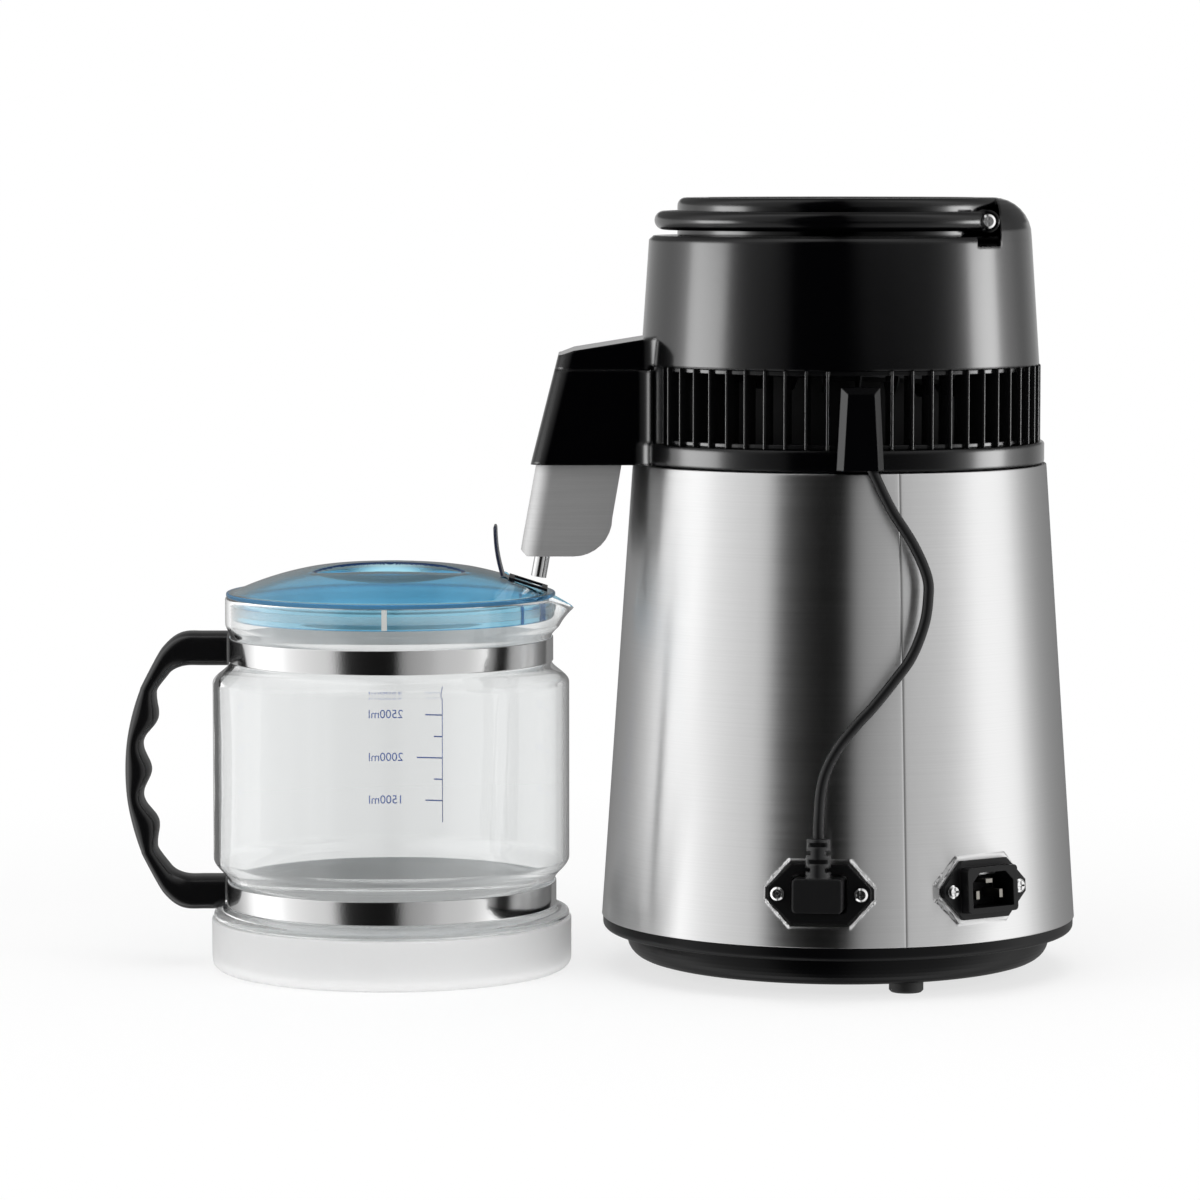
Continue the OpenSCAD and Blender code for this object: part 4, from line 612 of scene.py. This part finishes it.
for side in (-1, 1):
    lug = hinge + np.array([0, side * pivot["lugY"], 0])
    lidGrids.append({"points": barAlongY(lug, pivot["lugR"], pivot["lugHalf"])})
# Strainer posts on the skirt beside the pouring lip: short curved slabs with eased corners, by turn and half turn
posts = {"turns": ((34.6, 0.7), (20.0, 2.2)), "top": -0.0022, "foot": -0.0104, "thick": 0.0007, "off": 0.00005,
         "bend": 0.0003}
postIn, postOut = lid["skirtR"] + posts["off"], lid["skirtR"] + posts["thick"]
slab = rounded([(postIn, posts["foot"], 0), (postOut, posts["foot"], posts["bend"]),
                (postOut, posts["top"], posts["bend"]), (postIn, posts["top"], 0)], 4)
for turn, halfTurn in posts["turns"]:
    for side in (-1, 1):
        sweep = np.radians(side * np.linspace(turn - halfTurn, turn + halfTurn, 7))
        points = capped(swept(slab[:, :1], slab[:, 1:], sweep), 1) + lidBase
        lidGrids.append({"points": points, "wrapRow": True, "wrapColumn": False})
lidDome = place(surfaceObject("lidDome", *lidGrids), "lid", "lid_plastic", "carafe_lid")
# Key on the skirt: a narrow pale rib at the front that finds its place in the rim
rib = {"half": 0.0013, "thick": 0.0007, "off": 0.0001, "top": -0.0012, "foot": -0.0105}
ribX = np.array([-1, 1, 1, -1]) * rib["half"]
ribZ = np.array([rib["foot"], rib["foot"], rib["top"], rib["top"]])
ribY = -lid["skirtR"] - np.array([[rib["off"]], [rib["thick"]]])
ribPoints = capped(np.stack([ribX + 0 * ribY, ribY + 0 * ribX, ribZ + 0 * ribY], -1))
skirtRib = surfaceObject("skirtRib", {"points": ribPoints + lidBase})
place(skirtRib, "lid", "silicone_clear")
print("stage: lid", len(lidDome.data.polygons))

# Lid flap: a thin plate with round edges that stands up from its hinge barrel with a slight bow and a narrowed tip
flap = {"long": 0.0273, "wide": 0.024, "thick": 0.0018, "lean": 9.0, "bow": 0.0011, "barrelR": 0.0022,
        "facePower": 0.35, "sidePower": 0.25, "tipFrom": 0.85, "tipNarrow": 0.45, "thinFrom": 0.97, "thinShare": 0.6}
along = np.linspace(0.0, 1.0, 30)[:, None]
lean = np.radians(flap["lean"])
spineX = -np.sin(lean) * flap["long"] * along - flap["bow"] * np.sin(np.pi * along)
spineZ = np.cos(lean) * flap["long"] * along
turn = fullTurn(40)
thin = np.where(along > flap["thinFrom"], flap["thinShare"], 1)
plateX = flap["thick"] / 2 * boxy(np.cos(turn), flap["facePower"]) * thin
tip = np.clip((along - flap["tipFrom"]) / (1 - flap["tipFrom"]), 0, 1)
plateY = flap["wide"] / 2 * boxy(np.sin(turn), flap["sidePower"]) * np.sqrt(1 - tip ** 2 * flap["tipNarrow"])
plate = capped(np.stack([spineX + plateX, plateY, spineZ + 0 * turn], -1)) + hinge
lidFlap = surfaceObject("lidFlap", {"points": plate}, {"points": barAlongY(hinge, flap["barrelR"], flap["wide"] / 2)})
place(lidFlap, "flap", "flap_plastic", "lid_flap")
print("stage: flap")

# Measuring marks on the far wall of the jug: an upright line, ticks every 250 ml and three numbers
marks = {"lineX": 0.0235, "lowZ": 0.0611, "highZ": 0.1296, "firstZ": 0.0723, "stepZ": 0.01105,
         "ticks": (0.0092, 0.0046, 0.0138, 0.0046, 0.0092), "numbers": ("1500ml", "2000ml", "2500ml"),
         "thin": 0.00042, "tickThick": 0.0007, "textX": 0.0026, "textSize": 0.0062, "lift": 0.00006, "ink": 0.00008}


# Lays flat points (to the left as seen from the far side, up) on the jug's far wall
def onFarWall(across, up):
    reach = jug["bodyR"] + marks["lift"]
    turn = across / reach
    return np.stack([jug["axisX"] + reach * np.sin(turn), reach * np.cos(turn), up + 0 * across], -1)


def markStroke(x0, x1, z0, z1):
    across, up = np.meshgrid(np.linspace(x0, x1, 7), np.array([z0, z1]))
    return {"points": onFarWall(across, up), "wrapColumn": False}


lineX, thinHalf, tickHalf = marks["lineX"], marks["thin"] / 2, marks["tickThick"] / 2
strokes = [markStroke(lineX - thinHalf, lineX + thinHalf, marks["lowZ"], marks["highZ"])]
for i, tickLong in enumerate(marks["ticks"]):
    z = marks["firstZ"] + i * marks["stepZ"]
    strokes.append(markStroke(lineX - tickLong, lineX, z - tickHalf, z + tickHalf))
markPieces = [surfaceObject("markLines", *strokes)]
for i, words in enumerate(marks["numbers"]):
    font = bpy.data.curves.new("markText", "FONT")
    font.body = words
    font.size = marks["textSize"]
    font.align_x = "LEFT"
    font.align_y = "CENTER"
    holder = added("markText", font)
    flatMesh = bpy.data.meshes.new_from_object(holder.evaluated_get(bpy.context.evaluated_depsgraph_get()))
    bpy.data.objects.remove(holder)
    corners = np.zeros(len(flatMesh.vertices) * 3, np.float32)
    flatMesh.vertices.foreach_get("co", corners)
    corners = corners.reshape(-1, 3)
    laid = onFarWall(marks["textX"] - corners[:, 0], marks["firstZ"] + 2 * i * marks["stepZ"] + corners[:, 1])
    flatMesh.vertices.foreach_set("co", laid.astype(np.float32).reshape(-1))
    flatMesh.update()
    markPieces.append(added("mark" + words, flatMesh))
for piece in markPieces:
    ink = piece.modifiers.new("inkFilm", "SOLIDIFY")
    ink.thickness = marks["ink"]
    ink.offset = 0.0
    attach(piece, "carafe")
print("stage: marks")

# Charcoal sachet: a stuffed round pillow whose two faces swell as a power of the distance from its seam
sachet = {"fit": 0.97, "swell": 0.92, "pucker": 0.06, "puckers": 6, "rows": 22, "columns": 72}
low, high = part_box("charcoal_sachet")
centre, span = (np.array(low) + np.array(high)) / 2, (np.array(high) - np.array(low)) / 2
rows, turn = np.linspace(0, 1, sachet["rows"])[:, None], fullTurn(sachet["columns"])
puff = (1 - rows ** 3) ** 0.5 * (sachet["swell"] + sachet["pucker"] * np.sin(sachet["puckers"] * turn) * rows)
upper = np.stack([sachet["fit"] * span[0] * rows * np.cos(turn), sachet["fit"] * span[1] * rows * np.sin(turn),
                  span[2] * puff], -1)
lower = upper[::-1] * np.array([1, 1, -1])
charcoalSachet = surfaceObject("charcoalSachet", {"points": centre + np.concatenate([upper, lower])})
place(charcoalSachet, "head", "charcoal_cloth", "charcoal_sachet")
print("stage: sachet")

# Brushed stainless steel: fine brush lines round the wall stretch reflections into upright streaks, and the shadow gap
# of the lap seam is painted into the colour as a dark line
brushedSteel, tree = startMaterial("brushedStainless")
lines = brushLines(tree, 12.0, 1500.0)
level = ranged(tree, lines, 0.3, 0.7, 0.29, 0.36)
shade = ranged(tree, lines, 0.3, 0.7, 0.94, 1.0)
# The shadow gap of the lap seam is painted: the colour darkens in a thin line along it
bearing = bearingOf(tree, put(tree, "SeparateXYZ", {0: objectPoint(tree)}))
beside = calc(tree, "ABSOLUTE", calc(tree, "SUBTRACT", bearing, np.radians(seam["turn"])))
seamPaintedShadow = ranged(tree, beside, 0.0012, 0.0040, 0.45, 1.0)
brush = put(tree, "Tangent", direction_type="UV_MAP", uv_map="surface")
lay = put(tree, "Bump", {"Strength": 0.02, "Distance": 0.0002, "Height": lines})
metal = put(tree, "BsdfPrincipled", {"Base Color": toned(tree, "#cfcfcf", calc(tree, "MULTIPLY", shade, seamPaintedShadow)),
                                     "Metallic": 1.0, "Roughness": level, "Anisotropic": 1.0,
                                     "Anisotropic Rotation": 0.25, "Tangent": brush, "Normal": lay})
put(tree, "OutputMaterial", {"Surface": metal})
steelShell.data.materials.append(brushedSteel)


# A material by its colour and finish, with a fine surface grain, eased edges and where asked a streak of brush lines,
# put on its pieces
def finish(name, pieces, code, roughness, metallic=0.0, grain=0.05, grainScale=900.0, grainDeep=0.0003, edge=0.0004,
           samples=4, streak=0.0, **extra):
    made, tree = startMaterial(name)
    speck = put(tree, "TexNoise", {"Vector": objectPoint(tree), "Scale": grainScale, "Detail": 2.0})
    eased = put(tree, "Bevel", {"Radius": edge}, samples=samples)
    rough = put(tree, "Bump", {"Strength": grain, "Distance": grainDeep, "Height": speck, "Normal": eased})
    sockets = {"Base Color": linear(code), "Roughness": roughness, "Metallic": metallic, "Normal": rough}
    if streak:
        shade = ranged(tree, brushLines(tree, 25.0, 1100.0), 0.3, 0.7, 1.0 - streak, 1.0 + streak)
        sockets["Base Color"] = toned(tree, code, shade)
    called = {"clear": "Transmission Weight", "ior": "IOR", "coat": "Coat Weight", "specular": "Specular IOR Level"}
    sockets.update({called[key]: value for key, value in extra.items()})
    put(tree, "OutputMaterial", {"Surface": put(tree, "BsdfPrincipled", sockets)})
    for piece in pieces.split():
        if piece in nodes:
            nodes[piece].data.materials.clear()
        (nodes.get(piece) or bpy.data.objects[piece]).data.materials.append(made)
    return tree


# Gloss black moulding: deep black with clear studio reflections, eased edges and a faint ripple of the mould
finish("glossBlackAbs", "vent_ring top_cover carry_handle", "#020203", 0.14, grain=0.03, grainScale=60.0,
       grainDeep=0.001, edge=0.0020, samples=6)
# Satin black plastic: a fine spark-eroded grain that breaks the highlight
finish("satinBlackPlastic", "top_grille", "#0b0b0c", 0.34, grain=0.08, grainScale=1400.0, edge=0.0007, samples=6)
# Other black plastics and rubbers, which differ in how much they shine
finish("blackRubber", "feet", "#101010", 0.6)
finish("trayBlackPlastic", "base_tray", "#030304", 0.28, specular=0.14)
finish("coverBlackAbs", "cord_cover", "#030304", 0.16, edge=0.0007, specular=0.1)
finish("socketBlackPlastic", "outlet_socket mains_inlet button_bezel", "#070708", 0.38, edge=0.0008, specular=0.25)
finish("louvreBlackPlastic", "louvreFins", "#0a0a0b", 0.22, edge=0.0005)
finish("fanBlackPlastic", "air_duct fan_blades", "#0a0a0b", 0.55, specular=0.25)
finish("leadBlackPvc", "leadUpper leadLower", "#080809", 0.38, edge=0.0001, specular=0.35)
finish("plugBlackPvc", "lead_plug", "#0d0d0e", 0.33, edge=0.0018)
finish("gripBlackPlastic", "carafeGrip", "#070708", 0.24)
finish("navyRim", "spout_seal", "#05080f", 0.3, specular=0.2)
# Metals: drawn, plated, milled, dulled and painted dark for shade, satin and polished
finish("drawnStainless", "boiler_tank head_pan tank_posts", "#c9c9c9", 0.3, 1.0)
finish("platedScrewSteel", "tray_screws socket_screws handle_screws band_screws flap_pin", "#d6d6d6", 0.18, 1.0,
       edge=0.0002)
finish("millAluminium", "heater_plate", "#c4c6c8", 0.35, 1.0)
# Painted shade: the coil, its fins and the motor bracket are drawn dark grey for the shade inside the head
finish("coilMetalPaintedShade", "condenser_coil condenser_fins motor_bracket", "#505152", 0.5, 1.0)
finish("motorPlatedSteel", "fan_motor", "#5f6061", 0.45, 1.0)
finish("heaterSheathSteel", "heating_element", "#6d6a66", 0.45, 1.0)
finish("platedPinMetal", "inlet_pins plug_pins", "#8d8a84", 0.34, 1.0)
finish("satinShroudSteel", "spout_shroud", "#d0d0d0", 0.6, 1.0, 0.03, 1600.0, edge=0.0008, streak=0.035)
finish("polishedBandSteel", "drip_tube lowerBand upperBand", "#d2d2d2", 0.12, 1.0)
# Painted reflection: the polished steel inside of the bands is drawn matt near-white so it reads as bright as the
# studio it would mirror
finish("bandInsidePaintedReflection", "lowerBand upperBand", "#f4f4f4", 0.6)
# Small trim: phenolic, coloured plastics, ink and nonwoven cloth
finish("thermostatPhenolic", "thermostats switch_body", "#2b2019", 0.5)
finish("buttonGreyPlastic", "start_button", "#3a3b3d", 0.35)
finish("lampAmberLens", "indicator_lens", "#d98a2b", 0.15)
finish("cupWhitePlastic", "filter_cup skirtRib", "#e9e9e6", 0.4)
finish("slateBluePrint", "markLines mark1500ml mark2000ml mark2500ml", "#86a4ff", 0.5)
finish("sachetNonwoven", "charcoalSachet", "#d8d6cf", 0.85, grain=0.4, grainScale=2200.0)
# Clear and tinted: glass, silicone, the frosted boot, the flap, and the lid with a painted highlight in its hollows, a
# painted shadow line along its crest and a painted darker blue on its rim
finish("clearGlass", "carafeGlass", "#f1f2f2", 0.0, grain=0.0, clear=1.0, ior=1.47)
finish("clearSilicone", "seal_ring lid_seal", "#fafcfc", 0.2, clear=0.95, ior=1.3)
finish("frostedBootPlastic", "bootCup", "#fbfbfb", 0.45, clear=0.45, ior=1.4)
finish("tintedBlueFlap", "lidFlap", "#131c33", 0.1, grain=0.0, clear=0.3, ior=1.49)
finish("tintedBlueLid", "lidDome", "#94d2eb", 0.05, grain=0.0, clear=1.0, ior=1.16, coat=0.7)
# Painted highlight: the hollows' finish is paler and less clear than the lid's
tree = finish("lidHollowPaintedHighlight", "lidDome", "#94d2eb", 0.05, grain=0.0, ior=1.16, coat=0.7)
# Painted shadow: a dark blue line along the crest beside each hollow
finish("lidCrestPaintedShadow", "lidDome", "#0d2c55", 0.1, grain=0.0, clear=0.2, ior=1.4)
# Painted shade: the rim and the posts are a deeper, less clear blue for the darker edge
finish("lidRimPaintedShade", "lidDome", "#3f8fcb", 0.08, grain=0.0, clear=0.75, ior=1.16)
# The hollows carry a painted highlight: palest on their slopes beside the rib, where the wall would catch the light,
# fading into the lid's blue
lidHighlightSpot = {"aside": 0.012, "long": 0.024, "wide": 0.0105, "core": 0.25, "clear": 0.4}
centred = vectorCalc(tree, "SUBTRACT", objectPoint(tree), tuple(jugAxis))
folded = vectorCalc(tree, "ABSOLUTE", centred)
offset = vectorCalc(tree, "SUBTRACT", folded, (0.0, lidHighlightSpot["aside"], 0.0))
scaled = vectorCalc(tree, "MULTIPLY", offset, (1 / lidHighlightSpot["long"], 1 / lidHighlightSpot["wide"], 0.0))
away = vectorCalc(tree, "LENGTH", scaled).outputs["Value"]
share = ranged(tree, away, lidHighlightSpot["core"], 1.0, interpolation_type="SMOOTHSTEP")
blue = put(tree, "Mix", {"Factor": share, 6: linear("#bdf1ff"), 7: linear("#94d2eb")}, data_type="RGBA")
body = tree.nodes["Principled BSDF"]
tree.links.new(blue.outputs[2], body.inputs["Base Color"])
tree.links.new(ranged(tree, share, 0.0, 1.0, lidHighlightSpot["clear"]).outputs[0], body.inputs["Transmission Weight"])


# How far the hollows of the lid lie below its plain crown
def hollowDepth(x, y):
    return crown(x, y) - lidHeight(x, y)


# Faces of the lid by finish: 0 plain, 1 in a hollow with its painted highlight, 2 on the thin crest along the rib,
# painted as a shadow line, 3 on the rim and the posts, painted a darker edge
paintedLightZones = {"insideR": 0.06, "insideZ": 0.003, "crest": 0.0014, "crestLong": 0.037, "crestTop": 0.0010,
        "crestDrop": 0.0004, "hollow": 0.0007, "postOff": 0.00004, "postZ": -0.0006, "rimIn": 0.0012, "rimZ": -0.0004}
for face in lidDome.data.polygons:
    x, y, z = face.center.x - jug["axisX"], abs(face.center.y), face.center.z - lid["z"]
    r, depth = np.hypot(x, y), hollowDepth(x, y)
    inside = r < paintedLightZones["insideR"] and z > paintedLightZones["insideZ"]
    thin = paintedLightZones["crest"] * max(0.0, 1.0 - (x / paintedLightZones["crestLong"]) ** 2)
    crest = (y < scoop["y"] and face.normal.z > 0 and depth < paintedLightZones["crestTop"]
             and hollowDepth(x, y + thin) > paintedLightZones["crestDrop"])
    post = r > lid["skirtR"] + paintedLightZones["postOff"] and z < paintedLightZones["postZ"]
    rimEdge = post or r > lid["r"] - paintedLightZones["rimIn"] and z > paintedLightZones["rimZ"]
    face.material_index = (2 if crest else int(depth > paintedLightZones["hollow"])) if inside else 3 * int(rimEdge)
# Inner faces of the bands take the painted-reflection finish, outer faces the polished steel
for band, (bandR, low, high, sheet) in zip(bands, bandSizes.values()):
    for face in band.data.polygons:
        face.material_index = int(np.hypot(face.center.x - jug["axisX"], face.center.y) < bandR - 0.6 * sheet)
print("stage: finishes")

# Floor: a pale plain, white to the eye, that keeps a faint soft shadow
ground = {"half": 30, "centre": (-0.12, 0.0, 0.0), "shadowR": (0.2, 0.75), "shadow": 0.28}
floorMesh = bpy.data.meshes.new("paleFloor")
corners = [(x * ground["half"], y * ground["half"], 0) for x, y in ((-1, -1), (1, -1), (1, 1), (-1, 1))]
floorMesh.from_pydata(corners, [], [(0, 1, 2, 3)])
floor = added("paleFloor", floorMesh)
floorFinish, tree = startMaterial("paleFloor")
seen = put(tree, "Emission", {"Color": (1, 1, 1, 1), "Strength": 1.0})
matt = put(tree, "BsdfDiffuse", {"Color": (0.95, 0.95, 0.95, 1)})
away = vectorCalc(tree, "DISTANCE", objectPoint(tree), ground["centre"]).outputs["Value"]
shadow = ranged(tree, away, *ground["shadowR"], ground["shadow"], 0.0, interpolation_type="SMOOTHSTEP")
put(tree, "OutputMaterial", {"Surface": put(tree, "MixShader", {0: shadow, 1: seen, 2: matt})})
floorMesh.materials.append(floorFinish)
floor.visible_glossy = False

# World: white to the eye and through glass, a plain soft grey for lighting
world = bpy.data.worlds.new("studioWorld")
scene.world = world
world.use_nodes = True
tree = world.node_tree
tree.nodes.clear()
path = put(tree, "LightPath")
direct = calc(tree, "MAXIMUM", path.outputs["Is Camera Ray"], path.outputs["Is Transmission Ray"])
sky = put(tree, "Background", {"Color": (1, 1, 1, 1), "Strength": ranged(tree, direct, 0.0, 1.0, 0.55, 1.0)})
put(tree, "OutputWorld", {"Surface": sky})

# Reflection domes: the studio as the pieces mirror it, by bearing round the object. One is for the black gloss, with
# bright strips near eye level and calmer above and below, and one is for the rest
studio = {"centre": (0.0, 0.0, 0.25), "glossReach": 3.9, "restReach": 4.0, "stripTop": (10, 6),
          "stripFoot": (-18, -10), "calm": 0.55, "turns": 96, "tilts": 49}
wideStops = [(-180, .20), (-141, .45), (-122, .85), (-107, 1.55), (-95, 1.85), (-83, 1.66), (-73, 1.28), (-54, .99),
             (-46, .92), (-37, .36), (-29, .03), (0, .01), (4, .16), (11, .42), (27, .60), (35, .74), (53, .85),
             (62, 1.02), (71, 1.32), (81, 1.58), (92, 1.62), (104, 1.35), (118, .75), (140, .38), (180, .2)]
nearStops = [(-180, .6), (-125, .9), (-104, 3.0), (-90, 8.6), (-79, 8.0), (-69, 2.1), (-59, .6), (-50, .34),
             (-42, .23), (-33, .14), (-28, 0), (7, 0), (13, .06), (31, .10), (41, .16), (51, .26), (63, .7), (77, 3.9),
             (90, 10.6), (103, 4.0), (117, 1.3), (135, .6), (180, .6)]


# Strength by bearing: a smooth curve through (degrees, strength) stops
def byBearing(tree, share, stops):
    top = max(value for degrees, value in stops)
    curve = put(tree, "FloatCurve", {"Value": share})
    line = curve.mapping.curves[0]
    for degrees, value in stops[1:-1]:
        line.points.new((degrees + 180) / 360, value / top)
    line.points[0].location = (0.0, stops[0][1] / top)
    line.points[-1].location = (1.0, stops[-1][1] / top)
    for point in line.points:
        point.handle_type = "AUTO_CLAMPED"
    curve.mapping.update()
    return calc(tree, "MULTIPLY", curve, top)


# A sphere about the object, seen only in reflections
def studioDome(name, reach, gloss):
    turns, tilts = fullTurn(studio["turns"]), np.linspace(-np.pi / 2, np.pi / 2, studio["tilts"])[:, None]
    points = reach * swept(np.cos(tilts), np.sin(tilts), turns) + np.array(studio["centre"])
    dome = surfaceObject(name, {"points": points})
    made, tree = startMaterial(name)
    centred = vectorCalc(tree, "SUBTRACT", objectPoint(tree), studio["centre"])
    parts = put(tree, "SeparateXYZ", {0: vectorCalc(tree, "NORMALIZE", centred)})
    share = ranged(tree, bearingOf(tree, parts), -np.pi, np.pi)
    strength = byBearing(tree, share, wideStops)
    if gloss:
        tilt = calc(tree, "ARCSINE", parts.outputs[2])
        edges = [ranged(tree, tilt, *np.radians(studio[end]), interpolation_type="SMOOTHSTEP")
                 for end in ("stripTop", "stripFoot")]
        calm = calc(tree, "MULTIPLY", strength, studio["calm"])
        strength = put(tree, "Mix", {0: calc(tree, "MULTIPLY", *edges), 2: calm, 3: byBearing(tree, share, nearStops)},
                       data_type="FLOAT")
    glow = put(tree, "Emission", {"Color": (1, 1, 1, 1), "Strength": strength})
    both = put(tree, "AddShader", {0: glow, 1: put(tree, "BsdfTransparent")})
    put(tree, "OutputMaterial", {"Surface": both if gloss else glow})
    dome.data.materials.append(made)
    for ray in ("camera", "diffuse", "transmission", "shadow", "volume_scatter"):
        setattr(dome, "visible_" + ray, False)
    return dome


glossDome = studioDome("glossDome", studio["glossReach"], True)
restDome = studioDome("restDome", studio["restReach"], False)
glossPieces = [nodes[name] for name in ("top_cover", "vent_ring", "cord_cover", "carry_handle")] + [louvreFins]
for dome, state in ((glossDome, "INCLUDE"), (restDome, "EXCLUDE")):
    lit = bpy.data.collections.new(dome.name + "Pieces")
    for piece in glossPieces:
        lit.objects.link(piece)
    for item in lit.collection_objects:
        item.light_linking.link_state = state
    dome.light_linking.receiver_collection = lit
for piece in (lidDome, lidFlap, carafeGlass, bands[1]):
    piece.visible_glossy = False
for piece in (lidDome, lidFlap, carafeGlass):
    piece.visible_shadow = False

# Soft boxes: one above, one on each side, for the shape of the matt pieces
for name, spot, aim, size, power in (("boxAbove", (0.0, -0.6, 2.2), (-0.1, 0.0, 0.2), 1.8, 22.0),
                                     ("boxLeft", (-2.0, -1.4, 1.0), (-0.1, 0.0, 0.2), 1.2, 12.0),
                                     ("boxRight", (2.0, -1.2, 1.0), (0.0, 0.0, 0.2), 1.2, 12.0)):
    data = bpy.data.lights.new(name, "AREA")
    data.size = size
    data.energy = power
    lamp = added(name, data)
    lamp.location = spot
    lamp.rotation_euler = (Vector(aim) - Vector(spot)).to_track_quat("-Z", "Y").to_euler()
    lamp.visible_glossy = lamp.visible_transmission = lamp.visible_camera = False
print("stage: studio")
